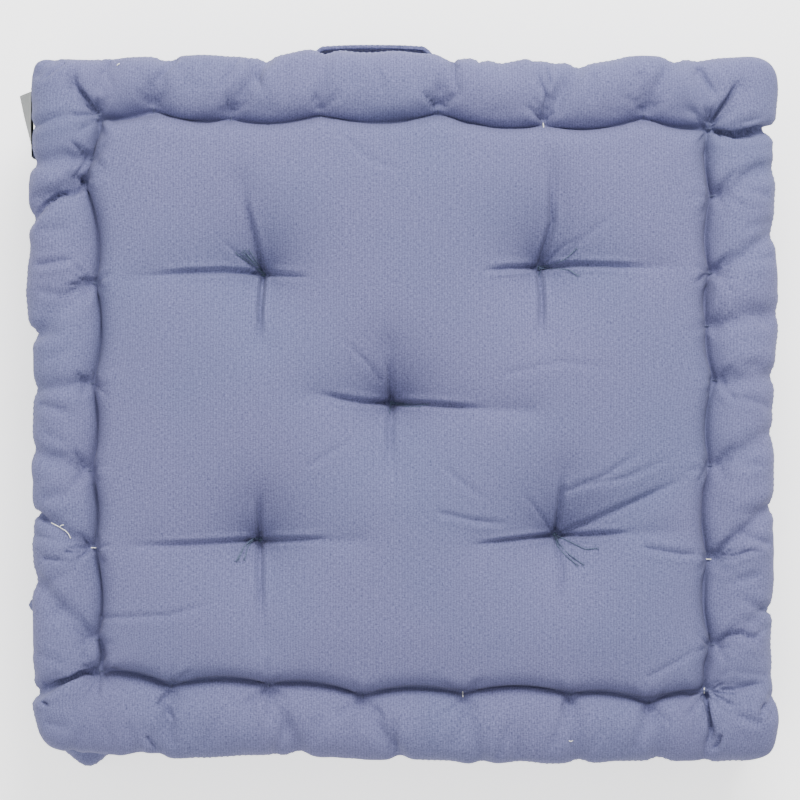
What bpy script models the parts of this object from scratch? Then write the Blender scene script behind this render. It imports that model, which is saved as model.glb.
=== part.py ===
"""Boxed floor cushion with a hand-stitched rolled edge, five thread tufts, a carry strap and a label.

The cushion lies flat: +Z is up, +Y points to the back, where the carry strap is, and +X to the right.
The origin is on the floor under the middle of the whole box, strap and label included. Lengths are in metres.
"""

import math

import bmesh
import bpy
from mathutils import Matrix, Vector

# Overall size of the cushion body, without the strap and the label.
WIDTH = 0.450
DEPTH = 0.425
HEIGHT = 0.100
CORNER_RADIUS = 0.030

# Rolled edge: one roll round the top and one round the bottom, with a groove on either side of each.
ROLL_WIDTH = 0.038
ROLL_HEIGHT = 0.032
ROLL_DROP = 0.0025
GROOVE_DEPTH = 0.014
GROOVE_SHOULDER = 0.010
SIDE_GROOVE_DEPTH = 0.010
BELLY_INSET = 0.0045
BELLY_HALF_HEIGHT = 0.0105
INNER_CORNER_RADIUS = 0.005

# Cloth, thread and the gap between neighbours that touch in the real cushion.
CLOTH = 0.0012
GAP = 0.0003
SEAM_THREAD = 0.0008
ROLL_THREAD = 0.0012
TUFT_THREAD = 0.0016
SEAM_CLEARANCE = 0.0005

# Stitches that hold the rolls: each shows as a short bar in the top or bottom groove.
STITCHES_WIDTH = 6
STITCHES_DEPTH = 6
STITCH_BAR = 0.005
THREAD_OUT = 0.0012
SLOT_OUT = 0.0019

# Tufts: one in the middle and four round it.
TUFT_PITCH_X = 0.176
TUFT_PITCH_Y = 0.166
TUFT_DEPTH = 0.025
TUFT_RADIUS = 0.038
TUFT_SEAT_RADIUS = 0.008
TUFT_BAR = 0.007
TASSEL_REACH = 0.024

# Opening in the bottom front seam where the filling goes in, closed by hand.
FILL_OPENING = 0.160

# Carry strap on the back of the band.
STRAP_X = -0.012
STRAP_WIDTH = 0.024
STRAP_THICKNESS = 0.003
STRAP_HALF_SPAN = 0.078
STRAP_TAB = 0.022
STRAP_PROUD = 0.008
GRIP_HALF_SPAN = 0.045
GRIP_STEPS = 8
LEG_STEPS = 4
TAB_THREAD = 0.0008
TAB_STITCHES = 3
TAB_STITCH = 0.004

# Blank label in the left end of the top seam.
LABEL_LENGTH = 0.040
LABEL_DROP = 0.028
LABEL_THICKNESS = 0.0005
LABEL_Y = 0.170
LABEL_LEAN = math.radians(10)

# Number of flat facets on curved stretches.
CORNER_STEPS = 3
SIDE_STEPS = 4
DIMPLE_SIDES = 10

# What follows from the sizes above.
MIDDLE = HEIGHT / 2
SEAM_RISE = MIDDLE - ROLL_DROP - ROLL_HEIGHT / 2
SKIN = CLOTH + GAP
SEAM_SPACE = SEAM_THREAD + 2 * SEAM_CLEARANCE
LABEL_PROUD = LABEL_DROP * math.sin(LABEL_LEAN) + GAP + LABEL_THICKNESS
BODY_AT = Vector((LABEL_PROUD / 2, -STRAP_PROUD / 2, 0))
BELLY_Y = DEPTH / 2 - BELLY_INSET
TAB_Y = BELLY_Y + GAP + STRAP_THICKNESS / 2
STRAP_RISE = DEPTH / 2 + STRAP_PROUD - STRAP_THICKNESS / 2 - TAB_Y

SIDES = {
    "front": (Vector((1, 0, 0)), Vector((0, -1, 0)), WIDTH, DEPTH, STITCHES_WIDTH),
    "right": (Vector((0, 1, 0)), Vector((1, 0, 0)), DEPTH, WIDTH, STITCHES_DEPTH),
    "back": (Vector((-1, 0, 0)), Vector((0, 1, 0)), WIDTH, DEPTH, STITCHES_WIDTH),
    "left": (Vector((0, -1, 0)), Vector((-1, 0, 0)), DEPTH, WIDTH, STITCHES_DEPTH),
}


def material(name, colour, roughness):
    """A Principled material of one sRGB colour, given from 0 to 255."""
    made = bpy.data.materials.new(name)
    made.use_nodes = True
    shader = made.node_tree.nodes["Principled BSDF"]
    linear = [(c / 255 / 12.92) if c < 11 else ((c / 255 + 0.055) / 1.055) ** 2.4 for c in colour]
    shader.inputs["Base Color"].default_value = (*linear, 1)
    shader.inputs["Roughness"].default_value = roughness
    shader.inputs["Metallic"].default_value = 0.0
    return made


def place(name, data, finish, parent, at=(0, 0, 0)):
    """Links a new object under a parent empty, with its origin at a place given from that empty."""
    made = bpy.data.objects.new(name, data)
    bpy.context.scene.collection.objects.link(made)
    made.parent = parent
    made.location = at
    if finish:
        data.materials.append(finish)
    return made


def empty(name, at, parent=None):
    made = bpy.data.objects.new(name, None)
    bpy.context.scene.collection.objects.link(made)
    made.parent = parent
    made.location = at
    return made


def mesh_of(bm, name, smooth=True):
    """Turns a bmesh into a mesh with smooth round faces and sharp folds."""
    mesh = bpy.data.meshes.new(name)
    bm.to_mesh(mesh)
    bm.free()
    if smooth:
        mesh.shade_smooth()
        mesh.set_sharp_from_angle(angle=math.radians(40))
    return mesh


# The skin of the cushion is a stack of rings. Each ring is the plan outline, drawn in by an inset.


def side_points(side, inset):
    """The plan points of one side, from the middle of its first corner to the middle of its last."""
    along, outward, length, breadth, _ = SIDES[side]
    radius = max(CORNER_RADIUS - inset, INNER_CORNER_RADIUS)
    half = length / 2 - inset - radius
    reach = breadth / 2 - inset - radius
    turns = [math.radians(45) * (1 - i / CORNER_STEPS) for i in range(CORNER_STEPS + 1)]
    first = [(-half - radius * math.sin(a), reach + radius * math.cos(a)) for a in turns]
    between = [(half * (2 * i / SIDE_STEPS - 1), reach + radius) for i in range(1, SIDE_STEPS)]
    last = [(-s, d) for s, d in reversed(first)]
    return [along * s + outward * d for s, d in first + between + last]


def ring_points(inset):
    """The closed plan outline at an inset, without repeating the corner middles."""
    return [p for side in SIDES for p in side_points(side, inset)[:-1]]


def roll_point(degrees):
    """(inset, rise) on the roll's oval section. 0 is the seam on its outer side and 90 its top."""
    a = math.radians(degrees)
    return ROLL_WIDTH / 2 * (1 - math.cos(a)), SEAM_RISE + ROLL_HEIGHT / 2 * math.sin(a)


# Upper half of the edge's section as (inset, rise above the middle), from the field to the belly.
GROOVE = (ROLL_WIDTH, MIDDLE - GROOVE_DEPTH)
SIDE_GROOVE = (SIDE_GROOVE_DEPTH, SEAM_RISE - ROLL_HEIGHT / 2)
FIELD_EDGE = (ROLL_WIDTH + GROOVE_SHOULDER, MIDDLE)
ROLL_TOP = [roll_point(a) for a in (135, 100, 65, 30)]
ROLL_UNDER = [roll_point(a) for a in (-22, -45)]
SEAM = roll_point(0)
BELLY = (BELLY_INSET, BELLY_HALF_HEIGHT)
PANEL_SECTION = [FIELD_EDGE, GROOVE, *ROLL_TOP, (SEAM[0], SEAM[1] + SEAM_SPACE / 2)]
HALF_BAND = [(SEAM[0], SEAM[1] - SEAM_SPACE / 2), *ROLL_UNDER, SIDE_GROOVE, BELLY]
BAND_SECTION = HALF_BAND + [(inset, -rise) for inset, rise in reversed(HALF_BAND)]
HALF_EDGE = [FIELD_EDGE, GROOVE, *ROLL_TOP, SEAM, *ROLL_UNDER, SIDE_GROOVE, BELLY]
EDGE_SECTION = HALF_EDGE + [(inset, -rise) for inset, rise in reversed(HALF_EDGE)]

# Middle of the roll's two walls, between which each roll stitch passes through it.
WALL_TOP = Vector((GROOVE[0] + ROLL_TOP[0][0], GROOVE[1] + ROLL_TOP[0][1])) / 2
WALL_SIDE = Vector((SIDE_GROOVE[0] + ROLL_UNDER[-1][0], SIDE_GROOVE[1] + ROLL_UNDER[-1][1])) / 2
THROUGH = (WALL_TOP - WALL_SIDE).normalized()

TUFTS = {
    "middle": (0, 0),
    "front_left": (-TUFT_PITCH_X / 2, -TUFT_PITCH_Y / 2),
    "front_right": (TUFT_PITCH_X / 2, -TUFT_PITCH_Y / 2),
    "back_left": (-TUFT_PITCH_X / 2, TUFT_PITCH_Y / 2),
    "back_right": (TUFT_PITCH_X / 2, TUFT_PITCH_Y / 2),
}


def loft(bm, rings, closed):
    """Joins each ring of vertices to the next with a strip of four-sided faces."""
    for upper, lower in zip(rings, rings[1:]):
        count = len(upper)
        for i in range(count if closed else count - 1):
            j = (i + 1) % count
            bm.faces.new((upper[i], lower[i], lower[j], upper[j]))


def dimple(bm, x, y, rise, sign):
    """Adds a tuft's hollow to the field and returns the edges of its rim."""
    rings = []
    for radius, depth in ((TUFT_RADIUS, 0), (TUFT_SEAT_RADIUS, TUFT_DEPTH)):
        ring = bmesh.ops.create_circle(
            bm,
            segments=DIMPLE_SIDES,
            radius=radius,
            matrix=Matrix.Translation((x, y, MIDDLE + sign * (rise - depth))),
        )["verts"]
        rings.append(ring)
    loft(bm, rings, True)
    bm.faces.new(rings[1])
    rim = set(rings[0])
    return [e for v in rings[0] for e in v.link_edges if e.other_vert(v) in rim]


def field(bm, ring, sign):
    """Fills the flat field inside a ring, with a hollow at each tuft."""
    edges = {bm.edges.get((v, ring[i - 1])) or bm.edges.new((v, ring[i - 1])) for i, v in enumerate(ring)}
    for x, y in TUFTS.values():
        edges.update(dimple(bm, x, y, MIDDLE, sign))
    bmesh.ops.triangle_fill(bm, edges=list(edges), use_beauty=True, use_dissolve=False)


def add_rings(bm, section, points_of, sign=1):
    return [
        [bm.verts.new(p + Vector((0, 0, MIDDLE + sign * rise))) for p in points_of(inset)]
        for inset, rise in section
    ]


def panel_mesh(sign):
    """Outer face of the top panel (sign 1) or the bottom panel (sign -1)."""
    bm = bmesh.new()
    rings = add_rings(bm, PANEL_SECTION, ring_points, sign)
    loft(bm, rings, True)
    field(bm, rings[0], sign)
    bmesh.ops.recalc_face_normals(bm, faces=bm.faces)
    if sum(f.normal.z * f.calc_area() for f in bm.faces) * sign < 0:
        bmesh.ops.reverse_faces(bm, faces=bm.faces)
    return mesh_of(bm, "panel")


def trimmed(points, amount):
    """The same open line with both ends drawn back by an amount."""
    first = points[0] + (points[1] - points[0]).normalized() * amount
    last = points[-1] + (points[-2] - points[-1]).normalized() * amount
    return [first, *points[1:-1], last]


def band_mesh(side):
    """Outer face of one strip of the band, between the middles of two corners."""
    bm = bmesh.new()
    rings = add_rings(bm, BAND_SECTION, lambda inset: trimmed(side_points(side, inset), SEAM_SPACE / 2))
    loft(bm, rings, False)
    bmesh.ops.recalc_face_normals(bm, faces=bm.faces)
    outward = SIDES[side][1]
    if sum(f.normal.dot(outward) * f.calc_area() for f in bm.faces) < 0:
        bmesh.ops.reverse_faces(bm, faces=bm.faces)
    return mesh_of(bm, "band")


def filling_mesh():
    """The whole skin, drawn in by the cloth and a gap."""
    bm = bmesh.new()
    rings = add_rings(bm, EDGE_SECTION, ring_points)
    loft(bm, rings, True)
    field(bm, rings[0], 1)
    field(bm, rings[-1], -1)
    bmesh.ops.recalc_face_normals(bm, faces=bm.faces)
    if bm.calc_volume(signed=True) < 0:
        bmesh.ops.reverse_faces(bm, faces=bm.faces)
    bm.normal_update()
    moves = [(v, v.normal * v.calc_shell_factor() * SKIN) for v in bm.verts]
    for v, move in moves:
        v.co -= move
    return mesh_of(bm, "filling")


def add_wall(obj, thickness):
    wall = obj.modifiers.new("Cloth", "SOLIDIFY")
    wall.thickness = thickness
    wall.offset = -1
    wall.use_even_offset = True


def cut(obj, cutter):
    hole = obj.modifiers.new(cutter.name, "BOOLEAN")
    hole.operation = "DIFFERENCE"
    hole.solver = "EXACT"
    hole.object = cutter


def add_box(bm, centre, axes, sizes):
    """Adds a box whose sides lie along three given directions."""
    turned = Matrix([Vector(a) for a in axes]).transposed().to_4x4()
    scaled = Matrix.Diagonal((*sizes, 1))
    bmesh.ops.create_cube(bm, size=1, matrix=Matrix.Translation(centre) @ turned @ scaled)


def cutter_of(name, bm, parent):
    """A hidden cutting body with its faces outwards."""
    bmesh.ops.recalc_face_normals(bm, faces=bm.faces)
    made = place(name, mesh_of(bm, name, smooth=False), None, parent)
    made.hide_render = True
    made.display_type = "WIRE"
    return made


def thread(name, points, diameter, finish, parent, cyclic=False):
    """A thread along a line of points, four-sided, with its ends closed."""
    curve = bpy.data.curves.new(name, "CURVE")
    curve.dimensions = "3D"
    curve.bevel_depth = diameter / 2
    curve.bevel_resolution = 0
    curve.use_fill_caps = True
    spline = curve.splines.new("POLY")
    spline.points.add(len(points) - 1)
    for spot, p in zip(spline.points, points):
        spot.co = (*p, 1)
    spline.use_cyclic_u = cyclic
    return place(name, curve, finish, parent)


def section_at(side, s, inset, rise, sign):
    """A place on one side, from how far along it is and its place in the edge's section."""
    along, outward, _, breadth, _ = SIDES[side]
    return along * s + outward * (breadth / 2 - inset) + Vector((0, 0, MIDDLE + sign * rise))


def stitch_stations(side):
    """How far along a side its roll stitches are, evenly spaced between the groove's corners."""
    length, count = SIDES[side][2], SIDES[side][4]
    run = length - 2 * ROLL_WIDTH
    return [run * ((i + 1) / (count + 1) - 0.5) for i in range(count)]


def roll_stitch_points(side, sign):
    """The path of one length of stitching thread, in and out through the neck of the roll."""
    top = WALL_TOP + THROUGH * THREAD_OUT
    low = WALL_SIDE - THROUGH * THREAD_OUT
    points = []
    for s in stitch_stations(side):
        for at, spot in ((-1, low), (-1, top), (1, top), (1, low)):
            points.append(section_at(side, s + at * STITCH_BAR / 2, *spot, sign))
    return points


def add_roll_slots(bm, side, sign):
    """The ways of one side's roll stitches through cloth and filling."""
    along, outward = SIDES[side][:2]
    centre = (WALL_TOP + WALL_SIDE) / 2
    reach = (WALL_TOP - WALL_SIDE).length + 2 * SLOT_OUT
    way = -outward * THROUGH[0] + Vector((0, 0, sign * THROUGH[1]))
    across = way.cross(along)
    bore = ROLL_THREAD + 2 * GAP
    for s in stitch_stations(side):
        at = section_at(side, s, *centre, sign)
        add_box(bm, at, (along, across, way), (STITCH_BAR + bore, bore, reach))


def tuft_height(distance):
    """Rise of the top skin above the tuft's seat, by distance from the tuft."""
    slope = TUFT_DEPTH / (TUFT_RADIUS - TUFT_SEAT_RADIUS)
    return max(distance - TUFT_SEAT_RADIUS, 0) * slope


def tuft_points(x, y):
    """One tie: a tail, down through the cushion, across underneath, up again and over to the other tail."""
    seat = MIDDLE + MIDDLE - TUFT_DEPTH
    under = TUFT_DEPTH
    clear = TUFT_THREAD / 2 + 2 * GAP
    half = TUFT_BAR / 2
    tail = TASSEL_REACH

    def on_skin(dx, dy, lift):
        return Vector((x + dx, y + dy, seat + tuft_height(math.hypot(dx, dy)) + lift))

    first = [on_skin(-tail, tail / 3, 2 * clear), on_skin(-tail / 2, tail / 6, 2 * clear)]
    down = [Vector((x - half, y, seat + clear)), Vector((x - half, y, under - clear))]
    up = [Vector((x + half, y, under - clear)), Vector((x + half, y, seat + clear))]
    over = Vector((x + half, y + TUFT_THREAD, seat + 2 * TUFT_THREAD + clear))
    last = [over, on_skin(tail / 2, tail / 3, 2 * clear), on_skin(tail * 0.9, tail / 2, 2 * clear)]
    return first + down + up + last


def strap_line(x):
    """How far the middle of the strap stands behind the band at x from the strap's middle, and its slope."""
    if abs(x) >= STRAP_HALF_SPAN:
        return 0.0, 0.0
    phase = math.pi / 2 * x / STRAP_HALF_SPAN
    rise = STRAP_RISE * math.cos(phase) ** 2
    slope = -STRAP_RISE * math.pi / 2 / STRAP_HALF_SPAN * math.sin(2 * phase)
    return rise, slope


def strap_mesh(stations):
    """A stretch of the strap between two upright cuts, around its own joint axis."""
    bm = bmesh.new()
    outer, inner = [], []
    for x in stations:
        rise, slope = strap_line(x)
        half = STRAP_THICKNESS / 2 * math.hypot(1, slope)
        outer.append(bm.verts.new((x, rise + half, -STRAP_WIDTH / 2)))
        inner.append(bm.verts.new((x, rise - half, -STRAP_WIDTH / 2)))
    lower = [bm.faces.new((outer[i], outer[i + 1], inner[i + 1], inner[i])) for i in range(len(stations) - 1)]
    upper = bmesh.ops.extrude_face_region(bm, geom=lower)["geom"]
    lifted = [v for v in upper if isinstance(v, bmesh.types.BMVert)]
    bmesh.ops.translate(bm, verts=lifted, vec=(0, 0, STRAP_WIDTH))
    bmesh.ops.recalc_face_normals(bm, faces=bm.faces)
    return mesh_of(bm, "strap")


def tab_stitch_rises():
    """Rises of the holes down a strap end, two for each stitch."""
    pitch = (STRAP_WIDTH - TAB_STITCH) / TAB_STITCHES
    middles = [pitch * (i - (TAB_STITCHES - 1) / 2) for i in range(TAB_STITCHES)]
    return [m + at * TAB_STITCH / 2 for m in middles for at in (-1, 1)]


def tab_stitch_points(x):
    """A thread that holds one strap end, in and out through strap and band."""
    outside = BELLY_Y + GAP + STRAP_THICKNESS + GAP + TAB_THREAD / 2
    inside = BELLY_Y - CLOTH - GAP - TAB_THREAD / 2
    points = []
    for i, rise in enumerate(tab_stitch_rises()):
        ends = (inside, outside) if i % 2 == 0 else (outside, inside)
        points += [Vector((x, y, MIDDLE + rise)) for y in ends]
    return points


def clear_scene():
    for obj in list(bpy.data.objects):
        bpy.data.objects.remove(obj, do_unlink=True)


def build():
    clear_scene()
    cushion = empty("cushion", BODY_AT)
    canvas = material("canvas", (143, 149, 177), 0.85)
    stuffing = material("wadding", (226, 221, 208), 0.95)
    cotton = material("cotton_thread", (226, 226, 224), 0.7)
    dark_cotton = material("tuft_thread", (84, 94, 118), 0.7)
    tape = material("label_tape", (172, 171, 162), 0.6)

    # Ways for the threads: one cutting body for the rolls, one for the tufts and two for the strap ends.
    slots = bmesh.new()
    for side in SIDES:
        for sign in (1, -1):
            add_roll_slots(slots, side, sign)
    bore = TUFT_THREAD + 2 * GAP
    reach = HEIGHT - 2 * TUFT_DEPTH + 2 * SLOT_OUT
    for x, y in TUFTS.values():
        add_box(slots, (x, y, MIDDLE), ((1, 0, 0), (0, 1, 0), (0, 0, 1)), (TUFT_BAR + bore, bore, reach))
    thread_ways = cutter_of("thread_ways", slots, cushion)

    tab_middles = {
        "left": STRAP_X - STRAP_HALF_SPAN - STRAP_TAB / 2,
        "right": STRAP_X + STRAP_HALF_SPAN + STRAP_TAB / 2,
    }
    holes, pockets = bmesh.new(), bmesh.new()
    needle = TAB_THREAD + 2 * GAP
    deep = CLOTH + 2 * GAP + STRAP_THICKNESS + 2 * SLOT_OUT
    square = ((1, 0, 0), (0, 1, 0), (0, 0, 1))
    for x in tab_middles.values():
        for rise in tab_stitch_rises():
            at = (x, BELLY_Y + (STRAP_THICKNESS + GAP - CLOTH) / 2, MIDDLE + rise)
            add_box(holes, at, square, (needle, deep, needle))
        bed = 2 * (SKIN + TAB_THREAD + GAP)
        add_box(pockets, (x, BELLY_Y, MIDDLE), square, (needle, bed, STRAP_WIDTH))
    needle_holes = cutter_of("needle_holes", holes, cushion)
    thread_pockets = cutter_of("thread_pockets", pockets, cushion)

    for name, sign in (("top_panel", 1), ("bottom_panel", -1)):
        panel = place(name, panel_mesh(sign), canvas, cushion)
        add_wall(panel, CLOTH)
        cut(panel, thread_ways)
    for side in SIDES:
        band = place(f"side_band_{side}", band_mesh(side), canvas, cushion)
        add_wall(band, CLOTH)
        cut(band, thread_ways)
        if side == "back":
            cut(band, needle_holes)
    filling = place("filling", filling_mesh(), stuffing, cushion)
    cut(filling, thread_ways)
    cut(filling, thread_pockets)

    # Seams: a closed ring at the top, and at the bottom a ring left open where the filling goes in.
    in_seam = [Vector((p.x, p.y, MIDDLE)) for p in ring_points(CLOTH / 2)]
    up = Vector((0, 0, SEAM_RISE))
    thread("top_seam_thread", [p + up for p in in_seam], SEAM_THREAD, canvas, cushion, cyclic=True)
    first = CORNER_STEPS + SIDE_STEPS // 2
    start, end = in_seam[first].copy(), in_seam[first].copy()
    start.x, end.x = FILL_OPENING / 2, -FILL_OPENING / 2
    round_trip = [p for p in in_seam[first:] + in_seam[:first] if abs(p.x) > FILL_OPENING / 2 or p.y > 0]
    thread("bottom_seam_thread", [p - up for p in (start, *round_trip, end)], SEAM_THREAD, canvas, cushion)
    space = Vector((2 * GAP, 0, 0))
    closing = [end + space - up, start - space - up]
    thread("opening_closing_thread", closing, SEAM_THREAD, cotton, cushion)
    for side in SIDES:
        column = [side_points(side, inset + CLOTH / 2)[0] for inset, _ in BAND_SECTION[1:-1]]
        rises = [Vector((0, 0, MIDDLE + rise)) for _, rise in BAND_SECTION[1:-1]]
        upright = [p + rise for p, rise in zip(column, rises)]
        thread(f"corner_seam_thread_{side}", upright, SEAM_THREAD, canvas, cushion)

    for side in SIDES:
        for level, sign in (("top", 1), ("bottom", -1)):
            points = roll_stitch_points(side, sign)
            thread(f"roll_stitching_{level}_{side}", points, ROLL_THREAD, cotton, cushion)
    for name, (x, y) in TUFTS.items():
        thread(f"tuft_tie_{name}", tuft_points(x, y), TUFT_THREAD, dark_cotton, cushion)

    # Carry strap: two sewn ends that stay with the band, and the grip that swings between them.
    hinge = empty("strap_axis", (STRAP_X, TAB_Y, MIDDLE), cushion)
    reach = GRIP_HALF_SPAN - GAP / 2
    stations = [reach * (2 * i / GRIP_STEPS - 1) for i in range(GRIP_STEPS + 1)]
    place("handle_grip", strap_mesh(stations), canvas, hinge)
    run = STRAP_HALF_SPAN - GRIP_HALF_SPAN - GAP / 2
    leg = [GRIP_HALF_SPAN + GAP / 2 + run * i / LEG_STEPS for i in range(LEG_STEPS + 1)]
    leg.append(STRAP_HALF_SPAN + STRAP_TAB)
    for name, sign in (("left", -1), ("right", 1)):
        tab = place(f"handle_end_{name}", strap_mesh([sign * x for x in leg]), canvas, hinge)
        cut(tab, needle_holes)
        points = tab_stitch_points(tab_middles[name])
        thread(f"handle_stitching_{name}", points, TAB_THREAD, cotton, cushion)

    # Label: hangs from its sewn edge in the top seam and leans out.
    axis = (-WIDTH / 2 - GAP - LABEL_THICKNESS / 2, LABEL_Y, MIDDLE + SEAM_RISE)
    sewn_edge = empty("label_axis", axis, cushion)
    sewn_edge.rotation_euler = (0, LABEL_LEAN, 0)
    bm = bmesh.new()
    add_box(bm, (0, 0, -LABEL_DROP / 2), square, (LABEL_THICKNESS, LABEL_LENGTH, LABEL_DROP))
    place("blank_label", mesh_of(bm, "label", smooth=False), tape, sewn_edge)


build()
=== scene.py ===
"""Looks of the floor cushion: a boxed canvas cushion with hand-rolled edges, five tufts and a carry strap.

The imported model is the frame. Every place comes from its boxes, in metres, with +Z up and the strap at +Y.
"""

import logging
import math
from dataclasses import dataclass, field
from enum import Enum

import bmesh
import bpy
import numpy as np
from mathutils import Matrix, Vector, noise
from mathutils.bvhtree import BVHTree


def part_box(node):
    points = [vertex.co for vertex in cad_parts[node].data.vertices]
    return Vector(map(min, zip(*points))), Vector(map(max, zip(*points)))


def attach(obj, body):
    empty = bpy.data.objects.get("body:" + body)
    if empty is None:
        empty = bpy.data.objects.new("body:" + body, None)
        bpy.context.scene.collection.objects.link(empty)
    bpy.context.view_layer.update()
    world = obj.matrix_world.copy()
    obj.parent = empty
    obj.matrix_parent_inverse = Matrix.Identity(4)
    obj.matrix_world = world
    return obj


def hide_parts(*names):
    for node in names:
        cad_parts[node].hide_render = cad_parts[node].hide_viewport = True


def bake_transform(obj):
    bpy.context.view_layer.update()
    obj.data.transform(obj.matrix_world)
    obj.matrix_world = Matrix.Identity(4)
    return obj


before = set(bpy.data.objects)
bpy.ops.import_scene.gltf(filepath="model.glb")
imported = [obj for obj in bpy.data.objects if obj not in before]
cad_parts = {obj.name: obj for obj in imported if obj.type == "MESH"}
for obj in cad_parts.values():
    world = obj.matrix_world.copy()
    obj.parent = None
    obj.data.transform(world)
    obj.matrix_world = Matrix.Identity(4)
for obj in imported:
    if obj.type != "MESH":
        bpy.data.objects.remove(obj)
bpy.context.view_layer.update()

MM = 0.001
WAVES = math.pi / 10  # a Wave texture of scale 1 has a wave every pi / 10 metres
Steps = tuple[tuple[float, float], ...]
SEAM_STEPS: Steps = ((-1, -0.45), (0, 0.12), (1, -0.45))
CLOSING_STEPS: Steps = ((-1, -0.5), (-0.5, 0.3), (0.5, 0.3), (1, -0.5))
BAND_STEPS: Steps = ((-1, -0.9), (-0.55, 0.35), (0, 0.45), (0.55, 0.35), (1, -0.9))
BAR_STEPS: Steps = ((-1, -0.8), (-0.6, 0.4), (0, 0.45), (0.6, 0.4), (1, -0.8))
GROOVE_STEPS: Steps = ((1, 0.9), (0.55, -0.35), (0, 0.3), (-0.55, -0.35), (-1, 0.9))
log = logging.getLogger("cushion")


class Side(Enum):
    """A side of the cushion: the axis across it, and the sign of its outward direction on that axis."""

    FRONT = (1, -1)
    BACK = (1, 1)
    LEFT = (0, -1)
    RIGHT = (0, 1)

    @property
    def across(self) -> int:
        """Index of the axis that leads out of the cushion."""
        return self.value[0]

    @property
    def along(self) -> int:
        """Index of the axis that runs along the side."""
        return 1 - self.value[0]

    @property
    def sign(self) -> int:
        """+1 where outward is the positive direction."""
        return self.value[1]

    def place(self, along: float, out: float) -> tuple[float, float]:
        """The place in plan that lies so far along the side, and so far out from the centre."""
        made = [0.0, 0.0]
        made[self.along] = along
        made[self.across] = self.sign * out
        return made[0], made[1]


@dataclass(frozen=True)
class Stitch:
    """One stitch through the neck of a roll, in millimetres.

    along is its place along the side, inset its distance from the outer edge, and notch the place along
    the side where its crease reaches the outer edge.
    """

    along: float
    inset: float
    notch: float


@dataclass(frozen=True)
class Crease:
    """A fold in the top of the cover: its points from the centre, depth and half width, in millimetres.

    A tight one is held as firmly as a stitch.
    """

    points: tuple[tuple[float, float], ...]
    depth: float
    width: float
    tight: bool = False

    @property
    def line(self) -> np.ndarray:
        """The fold's points, in metres."""
        return np.array(self.points) * MM

    def boxed(self, plan: np.ndarray, margin: float) -> np.ndarray:
        """Whether each place in plan lies in the fold's box, or within a margin of it."""
        line = self.line
        return np.all((plan > line.min(axis=0) - margin) & (plan < line.max(axis=0) + margin), axis=1)


@dataclass(frozen=True)
class TuftPlace:
    """A tuft, in millimetres from the centre.

    depth is how far it draws the cover in. Each strand of its tassel is a line of points from the knot.
    """

    node: str
    x: float
    y: float
    depth: float
    strands: tuple[tuple[tuple[float, float], ...], ...]

    def gap(self, plan: np.ndarray) -> np.ndarray:
        """Distance of each place in plan from the tuft, in metres."""
        return np.hypot(*(plan - np.array([self.x, self.y]) * MM).T)


STITCHES: dict[Side, tuple[Stitch, ...]] = {
    Side.BACK: (
        Stitch(-185, 35, -178),
        Stitch(-151, 31, -142),
        Stitch(-104, 36, -80),
        Stitch(-50, 33, -46),
        Stitch(22, 32, 30),
        Stitch(86, 40, 110),
        Stitch(147, 35, 168),
        Stitch(187, 41, 179),
    ),
    Side.FRONT: (
        Stitch(-184, 52, -171),
        Stitch(-140, 43, -147),
        Stitch(-81, 44, -60),
        Stitch(-24, 37, 2),
        Stitch(37, 38, 50),
        Stitch(102, 38, 108),
        Stitch(150, 33, 157),
        Stitch(184, 40, 188),
    ),
    Side.LEFT: (
        Stitch(-160, 42, -172),
        Stitch(-141, 39, -101),
        Stitch(-85, 37, -62),
        Stitch(-38, 35, -24),
        Stitch(15, 36, 11),
        Stitch(76, 38, 41),
        Stitch(138, 31, 113),
        Stitch(152, 36, 150),
        Stitch(178, 40, 190),
    ),
    Side.RIGHT: (
        Stitch(-172, 40, -165),
        Stitch(-144, 36, -119),
        Stitch(-92, 38, -56),
        Stitch(-35, 37, -13),
        Stitch(17, 34, 20),
        Stitch(50, 39, 59),
        Stitch(82, 37, 108),
        Stitch(129, 36, 147),
        Stitch(170, 38, 170),
    ),
}

# Deep folds in the rolls, most of them at the corners.
CORNER_FOLDS = (
    Crease(((-193, 138), (-200, 131), (-212, 127), (-220, 119), (-226, 111)), 9, 4, True),
    Crease(((-184, 178), (-193, 188), (-202, 199)), 4.5, 5),
    Crease(((-207, 211), (-215, 204), (-222, 199)), 3, 4),
    Crease(((-183, 190), (-180, 200), (-176, 210)), 2.5, 5),
    Crease(((188, 170), (194, 166), (208, 166), (220, 168), (228, 170)), 8, 4, True),
    Crease(((187, 172), (195, 183), (204, 195)), 4.5, 5),
    Crease(((191, 189), (185, 198), (178, 209)), 3, 5),
    Crease(((-183, -160), (-196, -162), (-210, -168), (-228, -175)), 7, 4, True),
    Crease(((-146, -176), (-140, -186), (-136, -197)), 3, 5),
    Crease(((-154, -193), (-150, -202), (-146, -212)), 3, 4),
    Crease(((184, -173), (185, -186), (188, -198), (187, -206)), 6, 4, True),
    Crease(((190, -144), (202, -136), (212, -135)), 4, 4),
    Crease(((206, -140), (214, -136), (224, -132)), 3, 4),
    Crease(((189, -171), (204, -168), (218, -168)), 3.5, 5),
    Crease(((224, -173), (220, -181), (217, -187)), 3, 4),
)

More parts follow.
